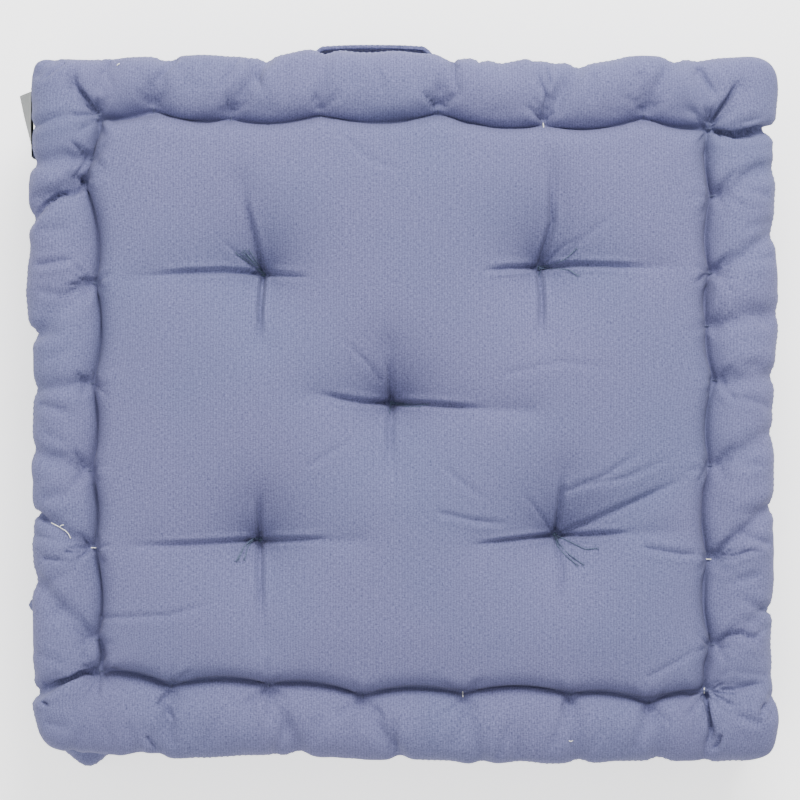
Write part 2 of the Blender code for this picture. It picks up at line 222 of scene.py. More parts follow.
# Soft hollows between the tufts and out to the rolls.
FIELD_FOLDS = (
    Crease(((-187, 76), (-150, 80), (-110, 84), (-86, 83)), 3.0, 11),
    Crease(((85, 86), (120, 88), (155, 86), (188, 84)), 3.0, 11),
    Crease(((-54, 8), (-30, 5), (-6, 3)), 3.5, 9),
    Crease(((-6, 3), (20, 2), (46, 0), (78, -2)), 3.5, 9),
    Crease(((-186, -84), (-140, -82), (-88, -82)), 3.0, 11),
    Crease(((-88, -82), (-50, -81), (-26, -80)), 2.5, 10),
    Crease(((47, -83), (70, -81), (94, -78)), 3.0, 10),
    Crease(((94, -78), (130, -76), (180, -74)), 3.0, 10),
    Crease(((104, -73), (130, -62), (160, -48), (186, -36)), 3.5, 8),
    Crease(((-98, 138), (-92, 110), (-85, 83)), 3.0, 9),
    Crease(((-85, 83), (-86, 60), (-86, 40)), 3.0, 9),
    Crease(((88, 168), (94, 126), (86, 86)), 3.5, 9),
    Crease(((85, 86), (85, 66), (84, 46)), 3.0, 9),
    Crease(((-8, 38), (-6, 20), (-6, 3)), 3.5, 8),
    Crease(((-6, 3), (-7, -16), (-7, -36)), 3.5, 8),
    Crease(((-86, -56), (-87, -70), (-88, -82)), 3.0, 9),
    Crease(((-88, -82), (-86, -110), (-85, -142)), 2.5, 10),
    Crease(((98, -38), (96, -60), (95, -78)), 3.0, 9),
)

TUFTS = (
    TuftPlace(
        "tuft_tie_middle", -6, 3, 25,
        (((4, 0), (10, -0.8), (20.7, -0.9)), ((4, -1), (9, -2), (16.3, -2.2)), ((-1, -2), (-1.5, -5))),
    ),
    TuftPlace(
        "tuft_tie_back_left", -85, 82, 24,
        (
            ((-3, 2.4), (-8, 6.4), (-15, 11.4)),
            ((-2.6, 2.8), (-6.5, 7), (-11.4, 11.6)),
            ((-2.4, 3.2), (-6, 7.8), (-10.2, 12.6)),
            ((-1.6, 3.4), (-4.4, 8.2), (-7.4, 13.2)),
        ),
    ),
    TuftPlace(
        "tuft_tie_back_right", 84, 86, 25,
        (((5, 1.2), (14.4, 4.2), (20.9, 9.8)), ((5, -0.8), (16.2, -1.8), (21.8, -5.1)), ((1, -2), (0, -4))),
    ),
    TuftPlace(
        "tuft_tie_front_left", -87, -81, 24,
        (
            ((-3.5, 1.2), (-8.2, -2.4), (-10.6, -6.6), (-12.1, -10.6)),
            ((-3, 0.8), (-6.7, -3), (-7.8, -6.8), (-8.6, -10.2)),
            ((-3.8, 0.6), (-8.9, -3.2), (-11.4, -7.4), (-13.2, -10.9)),
        ),
    ),
    TuftPlace(
        "tuft_tie_front_right", 94, -78, 26,
        (
            ((1.6, -6.6), (5.8, -11.6), (11.6, -16.6)),
            ((2.8, -5.6), (7.6, -10.8), (15, -16.2)),
            ((5, -2), (11.6, -5), (17.5, -7.5), (23.3, -7)),
        ),
    ),
)

# Sharp folds on the rolls.
ROLL_LINES = (
    Crease(((31, 213), (32, 192), (30, 182)), 3.2, 1.6),
    Crease(((-100, 212), (-112, 190)), 1.5, 1.8),
    Crease(((187, 172), (192, 179.5), (198, 188), (204, 198)), 3.6, 1.5),
    Crease(((188.6, 168.6), (201, 165.6), (211, 167), (222, 170.4), (228, 172)), 4.5, 1.5),
    Crease(((179, 207), (187, 193), (191, 185)), 1.8, 1.8),
    Crease(((82.5, 201), (88.6, 187), (85.5, 175)), 2.2, 1.8),
    Crease(((88, 207), (91, 189)), 1.4, 1.6),
    Crease(((184, -172), (185.6, -185), (187, -195), (188, -205)), 4.6, 1.5),
    Crease(((193, -197), (191, -204), (186, -208.5)), 3.0, 1.6),
    Crease(((191, -142.5), (197, -138), (205, -136), (213, -139), (222, -132.6)), 3.0, 1.5),
    Crease(((186, -88), (201, -89), (211, -86), (221.5, -88)), 2.2, 1.8),
    Crease(((191, -171), (201, -170), (222, -166)), 1.8, 1.8),
    Crease(((216, -187), (220, -177)), 2.2, 1.7),
    Crease(((-184, 178), (-193, 190), (-201, 199)), 3.4, 1.5),
    Crease(
        ((-193.5, 140), (-193, 134.6), (-198.3, 131), (-208.6, 128.6), (-216.5, 123), (-222, 115)), 4.6, 1.5
    ),
    Crease(((-204, 210), (-220, 197)), 1.8, 1.7),
    Crease(((-177, 211), (-183, 199)), 1.4, 1.7),
    Crease(((-136.5, 213), (-151, 195)), 1.7, 1.9),
    Crease(((-184, -161), (-194, -161), (-208.6, -167), (-222, -173)), 4.6, 1.5),
    Crease(((-219.5, -177), (-214, -181)), 2.6, 1.6),
    Crease(((-145.6, -175), (-137.7, -192)), 2.4, 1.8),
    Crease(((-154.7, -198), (-148, -209)), 2.2, 1.7),
    Crease(((-223, -63), (-212, -70)), 2.6, 1.7),
    Crease(((-218, -91), (-201, -93)), 1.6, 1.7),
    Crease(((-204, -87), (-189, -87)), 1.8, 1.7),
)

# How far each side's upper roll swells past the even outline: place along the side, and swell.
OUTLINE: dict[Side, tuple[tuple[float, float], ...]] = {
    Side.BACK: (
        (-210, 3), (-188, 0), (-150, 2), (-125, 3), (-88, 2), (-56, 5), (-20, 6), (12, 5), (31, 3.5),
        (46, 0.5), (60, -2.5), (75, 1), (90, -2), (118, -1), (136, 2), (162, 2), (180, -0.5), (206, 2),
    ),
    Side.FRONT: (
        (-200, -2), (-172, -1), (-158, -3), (-143, 3.5), (-125, 0.5), (-70, 0), (-42, -0.5), (-22, 3),
        (2, 4.5), (30, 4), (46, 6), (75, 5), (100, 3.5), (133, 3.5), (162, 2.5), (185, 1.5), (206, 4),
    ),
    Side.LEFT: (
        (-206, -3), (-176, 3), (-162, 0), (-133, 1), (-104, 2), (-75, -1), (-60, 1), (-45, -1),
        (-30, 1), (10, 0), (42, 1), (56, 3), (71, 5), (86, 3.5), (100, 2.5), (115, 4.5), (129, 3.5),
        (150, 0), (172, -1), (200, 3),
    ),
    Side.RIGHT: (
        (-206, 5), (-190, 5), (-176, 2.5), (-162, 0), (-118, 1), (-104, 3), (-75, 1), (-60, 3),
        (-31, 1), (-2, 0), (14, 3), (42, 5), (56, 6), (71, 3), (100, 3.5), (115, 2), (144, 3.5),
        (158, 1), (173, 3), (202, 4.5),
    ),
}

# Fine lines that the tufts draw into the field.
TUFT_LINES = (
    Crease(((-184, -127), (-140, -125), (-102, -114)), 1.0, 2.0),
    Crease(((146, -84), (168, -88), (186, -89)), 1.6, 2.0),
    Crease(((148, -163), (166, -153), (184, -142)), 0.9, 2.0),
    Crease(((-40, 168), (-20, 150), (10, 140)), 0.6, 2.4),
    Crease(((60, 20), (96, 28), (140, 22)), 0.6, 2.4),
    Crease(((-6, 3), (-22, 3.5), (-40, 6.5), (-54, 9)), 2.6, 1.6),
    Crease(((-6, 3), (14, 2.5), (34, 1), (56, -1)), 3.0, 1.6),
    Crease(((-6, 3), (-7, 14), (-8, 34)), 1.8, 2.0),
    Crease(((-6, 3), (-7, -12), (-7, -34)), 1.6, 2.0),
    Crease(((-12, 15), (-18, 24), (-38, 44)), 1.0, 1.8),
    Crease(((26, -36), (38, -46), (54, -58)), 0.8, 2.0),
    Crease(((22, -63), (44, -68), (70, -71)), 1.3, 1.9),
    Crease(((-58, -36), (-40, -25), (-24, -14)), 0.7, 2.0),
    Crease(((98, 92), (116, 108), (134, 122)), 0.7, 2.0),
    Crease(((-85, 82), (-108, 83), (-130, 82), (-158, 79)), 2.4, 1.7),
    Crease(((-85, 82), (-68, 80), (-52, 79)), 1.6, 1.8),
    Crease(((-85, 82), (-86, 62), (-86, 38)), 2.6, 1.7),
    Crease(((-85, 82), (-90, 104), (-98, 136)), 2.2, 2.0),
    Crease(((-85, 82), (-98, 92), (-112, 104)), 0.9, 1.8),
    Crease(((84, 86), (106, 87), (130, 86), (160, 84)), 2.6, 1.7),
    Crease(((84, 86), (66, 85), (46, 83)), 2.2, 1.7),
    Crease(((84, 86), (85, 66), (84, 42)), 2.4, 1.8),
    Crease(((84, 86), (91, 112), (90, 150)), 2.4, 2.0),
    Crease(((84, 86), (98, 98), (112, 106)), 0.9, 1.8),
    Crease(((-87, -81), (-112, -82), (-140, -83), (-168, -84)), 2.0, 1.8),
    Crease(((-87, -81), (-66, -80), (-40, -79)), 2.2, 1.7),
    Crease(((-87, -81), (-87, -66), (-86, -50)), 2.0, 1.8),
    Crease(((-87, -81), (-86, -104), (-85, -132)), 1.8, 1.9),
    Crease(((94, -78), (78, -79), (58, -81), (40, -83)), 2.6, 1.6),
    Crease(((94, -78), (114, -77), (142, -75)), 2.6, 1.6),
    Crease(((94, -78), (116, -68), (146, -54), (176, -40)), 2.2, 1.8),
    Crease(((94, -78), (96, -60), (98, -36)), 2.4, 1.8),
    Crease(((94, -78), (97, -98), (96, -124)), 1.6, 2.0),
    Crease(((94, -78), (82, -62), (70, -48)), 1.0, 1.8),
    Crease(((96, -52), (124, -40), (150, -22)), 1.2, 2.0),
    Crease(((104, -48), (136, -42), (170, -26)), 1.0, 2.0),
)

# Corners of the bottom roll that stand out: x, y, their push along x and y, and its reach.
BOTTOM_CORNERS = ((-197, -210, 0, -15, 15), (-222, -124, -13, 0, 6.5))

CLOTH_SETTINGS = {
    "quality": 5,
    "mass": 0.003,
    "tension_stiffness": 15,
    "compression_stiffness": 15,
    "shear_stiffness": 8,
    "bending_stiffness": 0.1,
    "air_damping": 2,
    "use_pressure": True,
}


def smooth(t: np.ndarray) -> np.ndarray:
    """Smooth step of t, which is first held between 0 and 1."""
    t = np.clip(t, 0, 1)
    return t * t * (3 - 2 * t)


def distance_to_line(places: np.ndarray, points: np.ndarray) -> tuple[np.ndarray, np.ndarray]:
    """Distance of each place from a line of points in plan, and how far along the line its foot lies.

    Args:
        places: n places, x and y.
        points: the line's points, x and y.

    Returns:
        The n distances, and the n shares of the line's length, from 0 to 1.
    """
    best = np.full(len(places), np.inf)
    share = np.zeros(len(places))
    lengths = np.hypot(*np.diff(points, axis=0).T)
    ends = np.concatenate([[0.0], np.cumsum(lengths)])
    for k, (a, b) in enumerate(zip(points[:-1], points[1:])):
        t = np.clip((places - a) @ (b - a) / lengths[k] ** 2, 0, 1)
        gap = np.linalg.norm(places - a - t[:, None] * (b - a), axis=1)
        nearer = gap < best
        best = np.where(nearer, gap, best)
        share = np.where(nearer, (ends[k] + t * lengths[k]) / ends[-1], share)
    return best, share


def run_along(points: np.ndarray) -> np.ndarray:
    """Distance of each point of a line from its start."""
    return np.concatenate([[0.0], np.cumsum(np.hypot(*np.diff(points, axis=0).T))])


def read(items: bpy.types.bpy_prop_collection, key: str, width: int, kind: type = np.float32) -> np.ndarray:
    """One property of every item in a mesh's collection, a row for each.

    Args:
        items: the vertices, faces or other items.
        key: the property's name.
        width: how many numbers it has.
        kind: the numbers' type.

    Returns:
        The rows.
    """
    made = np.empty(len(items) * width, kind)
    items.foreach_get(key, made)
    return made.reshape(-1, width)


def write_places(mesh: bpy.types.Mesh, places: np.ndarray) -> None:
    """Puts a mesh's vertices at new places."""
    mesh.vertices.foreach_set("co", places.astype(np.float32).ravel())


def extruded(bm: bmesh.types.BMesh, edges: list[bmesh.types.BMEdge]) -> tuple[list, list]:
    """Extrudes a ring of edges where it is, and returns the new ring's vertices and edges."""
    made = bmesh.ops.extrude_edge_only(bm, edges=edges)["geom"]
    verts = [g for g in made if isinstance(g, bmesh.types.BMVert)]
    new = set(verts)
    return verts, [g for g in made if isinstance(g, bmesh.types.BMEdge) and new.issuperset(g.verts)]


def mesh_of(name: str, bm: bmesh.types.BMesh) -> bpy.types.Mesh:
    """Turns a bmesh into a mesh, and frees it."""
    mesh = bpy.data.meshes.new(name)
    bm.to_mesh(mesh)
    bm.free()
    return mesh


def placed(name: str, data: bpy.types.ID) -> bpy.types.Object:
    """An object in the scene that shows a mesh, a light or a camera."""
    obj = bpy.data.objects.new(name, data)
    bpy.context.scene.collection.objects.link(obj)
    return obj


def principled(name: str) -> tuple[bpy.types.Material, bpy.types.ShaderNodeTree, bpy.types.ShaderNode]:
    """A new node material.

    Args:
        name: the finish's name.

    Returns:
        The material, its node tree and its Principled shader.
    """
    material = bpy.data.materials.new(name)
    material.use_nodes = True
    tree = material.node_tree
    return material, tree, tree.nodes["Principled BSDF"]


def node(tree: bpy.types.ShaderNodeTree, kind: str, **settings: object) -> bpy.types.ShaderNode:
    """Adds a node to a tree.

    Args:
        tree: the material's node tree.
        kind: the node's type name, without its ShaderNode prefix.
        settings: the node's attributes first, then its inputs, by their names with _ for a space: a value,
            or the socket that is linked there.

    Returns:
        The node.
    """
    made = tree.nodes.new("ShaderNode" + kind)
    for key, value in settings.items():
        if hasattr(made, key):
            setattr(made, key, value)
        else:
            fill(tree, made.inputs[key.replace("_", " ")], value)
    return made


def fill(tree: bpy.types.ShaderNodeTree, target: bpy.types.NodeSocket, value: object) -> None:
    """Gives an input a value, or links a socket to it."""
    if isinstance(value, bpy.types.NodeSocket):
        tree.links.new(value, target)
    else:
        target.default_value = value


def worked(
    tree: bpy.types.ShaderNodeTree, operation: str, first: bpy.types.NodeSocket, second: bpy.types.NodeSocket
) -> bpy.types.NodeSocket:
    """The result of a sum on two sockets."""
    made = node(tree, "Math", operation=operation)
    fill(tree, made.inputs[0], first)
    fill(tree, made.inputs[1], second)
    return made.outputs[0]


def coloured(
    tree: bpy.types.ShaderNodeTree,
    factor: bpy.types.NodeSocket,
    first: object,
    second: object,
    blend: str = "MIX",
) -> bpy.types.NodeSocket:
    """The mix of two colours, each a socket or its red, green and blue."""
    made = node(tree, "Mix", data_type="RGBA", blend_type=blend, Factor=factor)
    for key, colour in (("A", first), ("B", second)):
        fill(tree, made.inputs[key], (*colour, 1) if isinstance(colour, tuple) else colour)
    return made.outputs["Result"]


def dressed(
    tree: bpy.types.ShaderNodeTree,
    shader: bpy.types.ShaderNode,
    colour: bpy.types.NodeSocket,
    height: bpy.types.NodeSocket,
    relief: tuple[float, float],
    **values: float,
) -> None:
    """Gives a shader its colour, its relief and its constant values.

    Args:
        tree: the material's node tree.
        shader: its Principled shader.
        colour: the colour's socket.
        height: the relief's height.
        relief: the relief's depth in metres, and its strength.
        values: the shader's constants, by their names with _ for a space.
    """
    bump = node(tree, "Bump", Distance=relief[0], Strength=relief[1], Height=height)
    fill(tree, shader.inputs["Base Color"], colour)
    fill(tree, shader.inputs["Normal"], bump.outputs["Normal"])
    for key, value in values.items():
        fill(tree, shader.inputs[key.replace("_", " ")], value)


@dataclass(frozen=True)
class CanvasFinish:
    """Plain-weave cotton canvas: light and dark yarns both ways, slubs, and a matt, slightly fuzzy face.

    slubs holds the slubs' grain along each yarn's direction, contrast how much of them shows over the
    softer wash, and rib_share how much of the ribs.
    """

    name: str = "canvas"
    light: tuple[float, float, float] = (0.172, 0.174, 0.338)
    dark: tuple[float, float, float] = (0.040, 0.042, 0.096)
    tint: tuple[float, float, float] = (0.93, 0.98, 0.975)
    pitch: float = 0.8 * MM
    rib: float = 1.75 * MM
    relief: float = 0.22 * MM
    slubs: tuple[tuple[float, float, float], ...] = ((2.1, 0.45, 1.0), (0.34, 1.9, 1.0))
    contrast: float = 0.95
    rib_share: float = 0.16

    def make(self) -> bpy.types.Material:
        """The canvas material, which follows the cloth's own UV map in metres."""
        material, tree, shader = principled(self.name)
        uv = node(tree, "UVMap", uv_map="cloth").outputs["UV"]
        sines = {"wave_profile": "SIN", "Vector": uv}
        heights = []
        tones = []
        for axis, grain in zip("XY", self.slubs):
            wave = node(
                tree, "TexWave", bands_direction=axis, **sines,
                Scale=WAVES / self.pitch, Distortion=1.2, Detail=1.0, Detail_Scale=0.6,
            )
            heights.append(wave.outputs["Fac"])
            stretch = node(tree, "Mapping", Scale=tuple(x / self.pitch for x in grain), Vector=uv)
            slub = node(
                tree, "TexNoise", Scale=1.0, Detail=2.0, Roughness=0.6, Vector=stretch.outputs["Vector"]
            )
            tones.append(slub.outputs["Fac"])
        weave = worked(tree, "MULTIPLY", *heights)
        spread = node(tree, "MapRange", From_Min=0.72, From_Max=1.28, Value=worked(tree, "ADD", *tones))
        cloud = node(tree, "TexNoise", Scale=14.0, Detail=3.0, Roughness=0.55, Vector=uv)
        wash = node(
            tree, "MapRange",
            From_Min=0.3, From_Max=0.7, To_Min=0.42, To_Max=0.58, Value=cloud.outputs["Fac"],
        )
        blend = node(
            tree, "Mix", data_type="FLOAT", Factor=self.contrast,
            A=wash.outputs["Result"], B=spread.outputs["Result"],
        )
        rib = node(
            tree, "TexWave", bands_direction="X", **sines,
            Scale=WAVES / self.rib, Distortion=2.5, Detail_Scale=0.3,
        )
        ribbed = node(
            tree, "Mix", data_type="FLOAT", Factor=self.rib_share,
            A=blend.outputs["Result"], B=rib.outputs["Fac"],
        )
        colour = coloured(tree, ribbed.outputs["Result"], self.dark, self.light)
        patches = node(tree, "TexNoise", Scale=9.0, Detail=2.0, Vector=uv)
        patch = node(tree, "MapRange", From_Min=0.42, From_Max=0.68, Value=patches.outputs["Fac"])
        tinted = coloured(tree, patch.outputs["Result"], colour, self.tint, "MULTIPLY")
        dressed(
            tree, shader, tinted, weave, (self.relief, 0.6),
            Roughness=0.92, Specular_IOR_Level=0.2, Sheen_Weight=0.05, Sheen_Roughness=0.5,
        )
        return material


@dataclass
class Wrinkles:
    """The small creases and lumps of the filled cover, pressed into its finished surface."""

    half: tuple[float, float]
    seed: int = 11
    lump: float = 2.6 * MM
    crumple: float = 0.6 * MM
    unevenness: float = 0.9 * MM
    firmness: float = 1.25

    def puckers(self) -> list[Crease]:
        """The short creases that fan out of every roll stitch, into the roll and into the field."""
        rng = np.random.default_rng(self.seed)
        made = []
        for side, stitches in STITCHES.items():
            for stitch in stitches:
                for inward in (False, True):
                    for angle in self.fan(rng, inward):
                        reach = rng.uniform(9, 20) if inward else rng.uniform(10, 24)
                        edge = self.half[side.across] / MM - stitch.inset
                        out = -1 if inward else 1
                        start = side.place(stitch.along, edge + out * 1.5)
                        across = edge + out * reach * math.cos(angle)
                        end = side.place(stitch.along + reach * math.sin(angle), across)
                        depth = rng.uniform(0.7, 1.6) if inward else rng.uniform(1.1, 2.4)
                        made.append(Crease((start, end), depth, rng.uniform(1.5, 2.6)))
        return made

    @staticmethod
    def fan(rng: np.random.Generator, inward: bool) -> list[float]:
        """Directions of one stitch's creases, in radians from straight across the groove."""
        count = int(rng.integers(2, 4)) if inward else int(rng.integers(3, 6))
        spread = 1.25 if inward else 1.1
        return [spread * (2 * (k + rng.uniform(0.2, 0.8)) / count - 1) for k in range(count)]

    def across_rolls(self) -> list[Crease]:
        """The shallow creases that run round the rolls between the stitches."""
        rng = np.random.default_rng(self.seed + 1)
        made = []
        for side in Side:
            reach = self.half[side.along] / MM - 26
            edge = self.half[side.across] / MM
            for along in np.arange(-reach, reach, 21.0):
                place = float(along) + rng.uniform(-6, 6)
                lean = rng.uniform(-12, 12)
                near, far = rng.uniform(-2, 10), rng.uniform(22, 32)
                ends = (side.place(place, edge - near), side.place(place + lean, edge - far))
                made.append(Crease(ends, rng.uniform(0.7, 2.0), rng.uniform(2.2, 4.2)))
        return made

    def heights(self, places: np.ndarray, top: np.ndarray) -> np.ndarray:
        """How far each place moves outward along its normal.

        Args:
            places: the surface's places from the cushion's middle.
            top: whether each lies on the upper half.

        Returns:
            The moves, negative inward.
        """
        valley = np.zeros(len(places))
        swell = np.zeros(len(places))
        plan = places[:, :2]
        for crease in (*TUFT_LINES, *ROLL_LINES, *self.puckers(), *self.across_rolls()):
            margin = crease.width * 4.5 * MM
            near = np.flatnonzero(crease.boxed(plan, margin) & top)
            if not len(near):
                continue
            gap, share = distance_to_line(plan[near], crease.line)
            fade = smooth(share / 0.1 + 0.3) * smooth((1 - share) / 0.45)
            fade = fade * smooth((margin - gap) / margin * 1.5)
            move = crease.depth * self.firmness * MM * fade * self.profile(gap / (crease.width * MM))
            valley[near] = np.minimum(valley[near], move)
            swell[near] = np.maximum(swell[near], move)
        return self.lumps(places) + valley + swell

    @staticmethod
    def profile(gap: np.ndarray) -> np.ndarray:
        """Section of a crease of unit width and depth: a sharp valley with a low swell on either side."""
        return 0.32 * np.exp(-(((gap - 2.3) / 1.1) ** 2)) - np.exp(-(gap**1.15) * 1.5)

    def lumps(self, places: np.ndarray) -> np.ndarray:
        """Uneven filling: broad lumps on the rolls and the band, and a slight crumple everywhere."""
        reach = np.min(np.array(self.half) - np.abs(places[:, :2]), axis=1)
        on_roll = smooth((40 * MM - reach) / (8 * MM))
        made = np.empty(len(places))
        for k, (place, roll) in enumerate(zip(places, on_roll)):
            at = Vector(place)
            made[k] = self.crumple * noise.noise(at * 75) * (0.35 + 0.65 * roll)
            if roll > 0:
                made[k] += roll * self.lump * noise.noise(at * 34 + Vector((3, 7, 1)))
            else:
                made[k] += self.unevenness * noise.noise(at * 17 + Vector((9, 2, 5)))
        return made


@dataclass
class Cover:
    """The canvas cover: cut flat, sewn into rolls, tufted, and blown up by its filling in a simulation."""

    finish: CanvasFinish
    centre: Vector = field(init=False)
    half: tuple[float, float] = field(init=False)
    middle: float = field(init=False)
    roll_half_width: float = 19 * MM
    roll_half_height: float = 16 * MM
    seam_rise: float = 31.5 * MM
    groove_inset: float = 38.4 * MM
    groove_rise: float = 33 * MM
    field_inset: float = 56 * MM
    field_rise: float = 49 * MM
    roll_cells: int = 17
    shoulder_cells: int = 7
    band_cells: int = 22
    field_cells: tuple[int, int] = (90, 84)
    fullness: float = 1.015
    roll_gather: float = 1.035
    squareness: float = 8.0
    bulge: float = 0.085
    pressure: float = 30.0
    steps: int = 16
    most_move: float = 14 * MM
    tuft_density: float = 0.9
    fold_gain: float = 1.5
    crown: float = 2.5 * MM
    stitch_pull: tuple[float, float] = (5.4, 5)
    clearance: float = 0.25 * MM
    floor_round: float = 6 * MM
    floor_gap: float = 0.1 * MM
    upper: float = 8 * MM
    fold_reach: float = 2.2 * MM

    def __post_init__(self) -> None:
        """Takes the cover's middle and outer size from the frame."""
        low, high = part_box("top_panel")
        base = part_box("bottom_panel")[0]
        self.centre = Vector(((low.x + high.x) / 2, (low.y + high.y) / 2, 0))
        self.half = ((high.x - low.x) / 2 - 0.5 * MM, (high.y - low.y) / 2 - 0.5 * MM)
        self.middle = (base.z + high.z) / 2

    @property
    def rings(self) -> int:
        """Rings of cells between the field and the seam."""
        return self.roll_cells + self.shoulder_cells

    def panel_section(self) -> np.ndarray:
        """Inset and rise of each ring: from the field's edge, over the groove and round to the seam."""
        shoulder = np.array(
            [
                (self.field_inset, self.field_rise),
                (49 * MM, 48.6 * MM),
                (44 * MM, 46.6 * MM),
                (41 * MM, 43 * MM),
                (39.6 * MM, 38 * MM),
                (self.groove_inset, self.groove_rise),
            ]
        )
        roll = np.vstack([shoulder[-1], self.round_roll(158, 0, 30)])
        return np.vstack(
            [self.spaced(shoulder, self.shoulder_cells), self.spaced(roll, self.roll_cells)[1:]]
        )

    def round_roll(self, start: float, end: float, count: int) -> np.ndarray:
        """Inset and rise of points round the roll, between two angles in degrees above the seam."""
        turns = np.radians(np.linspace(start, end, count))
        inset = self.roll_half_width * (1 - np.cos(turns))
        return np.column_stack([inset, self.seam_rise + self.roll_half_height * np.sin(turns)])

    def band_section(self) -> np.ndarray:
        """Inset and rise of each row of the band, from the top seam to the bottom seam."""
        belly = np.array([(10 * MM, 15.5 * MM), (6 * MM, 10.5 * MM), (4.5 * MM, 0)])
        half = np.vstack([self.round_roll(0, -46, 8), belly])
        mirrored = half[::-1][1:] * np.array([1, -1])
        return self.spaced(np.vstack([half, mirrored]), self.band_cells)

    @staticmethod
    def spaced(points: np.ndarray, cells: int) -> np.ndarray:
        """Points at even distances along a line of points, one more than cells."""
        run = run_along(points)
        at = np.linspace(0, run[-1], cells + 1)
        return np.column_stack([np.interp(at, run, points[:, k]) for k in range(2)])

    def pattern_mesh(self) -> bpy.types.Mesh:
        """Both panels and the band as one closed mesh; each vertex keeps its column, row and band row."""
        bm = bmesh.new()
        columns = self.field_cells[0] + 2 * self.rings
        rows = self.field_cells[1] + 2 * self.rings
        bmesh.ops.create_grid(bm, x_segments=columns, y_segments=rows, size=1)
        place = bm.verts.layers.float_vector.new("pattern")
        for v in bm.verts:
            v[place] = ((v.co.x + 1) / 2 * columns, (v.co.y + 1) / 2 * rows, 0)
        panel = list(bm.faces)
        copied = bmesh.ops.duplicate(bm, geom=panel + list(bm.verts) + list(bm.edges))["geom"]
        below = [g for g in copied if isinstance(g, bmesh.types.BMVert)]
        bmesh.ops.reverse_faces(bm, faces=[g for g in copied if isinstance(g, bmesh.types.BMFace)])
        lower = set(below)
        edge = [e for e in bm.edges if e.is_boundary and e.verts[0] not in lower]
        for row in range(self.band_cells):
            new, edge = extruded(bm, edge)
            for v in new:
                v[place] = (v[place][0], v[place][1], row + 1)
        for v in below:
            v[place] = (v[place][0], v[place][1], self.band_cells + 1)
        flat = self.cut_places(np.array([v[place] for v in bm.verts]))
        for v, co in zip(bm.verts, flat):
            v.co = co
        bmesh.ops.remove_doubles(bm, verts=bm.verts, dist=0.01 * MM)
        bmesh.ops.recalc_face_normals(bm, faces=bm.faces)
        return mesh_of("cover", bm)

    def field_lines(self, axis: int) -> np.ndarray:
        """Places of the field's cell lines along one axis, from -1 to 1, closer together where tufts pull.

        Args:
            axis: 0 for columns, 1 for rows.

        Returns:
            One place for each line.
        """
        reach = self.half[axis] - self.field_inset
        fine = np.linspace(-reach, reach, 2001)
        dense = np.ones(len(fine))
        for tuft in TUFTS:
            at = (tuft.x, tuft.y)[axis] * MM
            dense += self.tuft_density * np.exp(-(((fine - at) / (9 * MM)) ** 2))
        run = np.concatenate([[0.0], np.cumsum((dense[1:] + dense[:-1]) / 2)])
        at = np.linspace(0, run[-1], self.field_cells[axis] + 1)
        return np.interp(at, run, fine) / reach

    def split(self, pattern: np.ndarray, axis: int) -> tuple[np.ndarray, np.ndarray, np.ndarray]:
        """Where each vertex lies along one axis of the pattern.

        Args:
            pattern: column, row and band row of each vertex.
            axis: 0 for columns, 1 for rows.

        Returns:
            Place in the field from -1 to 1, rings out from the field, and the side's sign.
        """
        index, cells = pattern[:, axis], self.field_cells[axis]
        core = np.interp(index - self.rings, np.arange(cells + 1), self.field_lines(axis))
        out = np.clip(self.rings - index, 0, None) + np.clip(index - self.rings - cells, 0, None)
        return core, out, np.where(index < self.rings + cells / 2, -1.0, 1.0)

    def cut_places(self, pattern: np.ndarray) -> np.ndarray:
        """Each vertex in the cloth as cut: flat panels above each other, with an upright band between."""
        section = self.panel_section()
        run = run_along(section) * self.fullness
        band = self.band_section()
        height = np.hypot(*np.diff(band, axis=0).T).sum() * self.fullness
        made = np.zeros((len(pattern), 3))
        parts = [self.split(pattern, axis) for axis in range(2)]
        on_roll = np.maximum(parts[0][1], parts[1][1]) > self.shoulder_cells
        for axis, (core, out, sign) in enumerate(parts):
            half = (self.half[axis] - self.field_inset) * self.fullness
            half = half * np.where(on_roll, self.roll_gather, 1.0)
            made[:, axis] = core * half + sign * np.interp(out, np.arange(len(run)), run)
        share = np.clip(pattern[:, 2] / self.band_cells, 0, 1)
        made[:, 2] = self.middle + height * (0.5 - share)
        return made

    def sewn_places(self, pattern: np.ndarray) -> np.ndarray:
        """Each vertex in the sewn cover before the filling has pushed it out."""
        panel, band = self.panel_section(), self.band_section()
        level = pattern[:, 2]
        on_band = (level > 0) & (level <= self.band_cells)
        (cx, rx, sx), (cy, ry, sy) = self.split(pattern, 0), self.split(pattern, 1)
        ring = np.maximum(rx, ry)
        steps = np.arange(len(panel))
        inset = np.where(
            on_band,
            np.interp(level, np.arange(len(band)), band[:, 0]),
            np.interp(ring, steps, panel[:, 0]),
        )
        rise = np.where(
            on_band,
            np.interp(level, np.arange(len(band)), band[:, 1]),
            np.interp(ring, steps, panel[:, 1]) * np.where(level == 0, 1, -1),
        )
        long = (rx**self.squareness + ry**self.squareness) ** (1 / self.squareness)
        long = np.where(long > 0, long, 1)
        reach = self.field_inset - inset
        x = cx * (self.half[0] - self.field_inset) + sx * rx / long * reach
        y = cy * (self.half[1] - self.field_inset) + sy * ry / long * reach
        return np.column_stack([x, y, self.middle + rise])

    def groove_at(self, side: Side, along: np.ndarray) -> np.ndarray:
        """Inset of a side's groove, which runs from stitch to stitch while the roll swells out between."""
        stitches = STITCHES[side]
        at = np.array([s.along for s in stitches]) * MM
        inset = np.array([s.inset for s in stitches]) * MM
        base = np.interp(along, at, inset)
        k = np.clip(np.searchsorted(at, along) - 1, 0, len(at) - 2)
        gap = at[k + 1] - at[k]
        share = np.clip((along - at[k]) / gap, 0, 1)
        return base + self.bulge * gap * np.sin(np.pi * share) ** 0.75

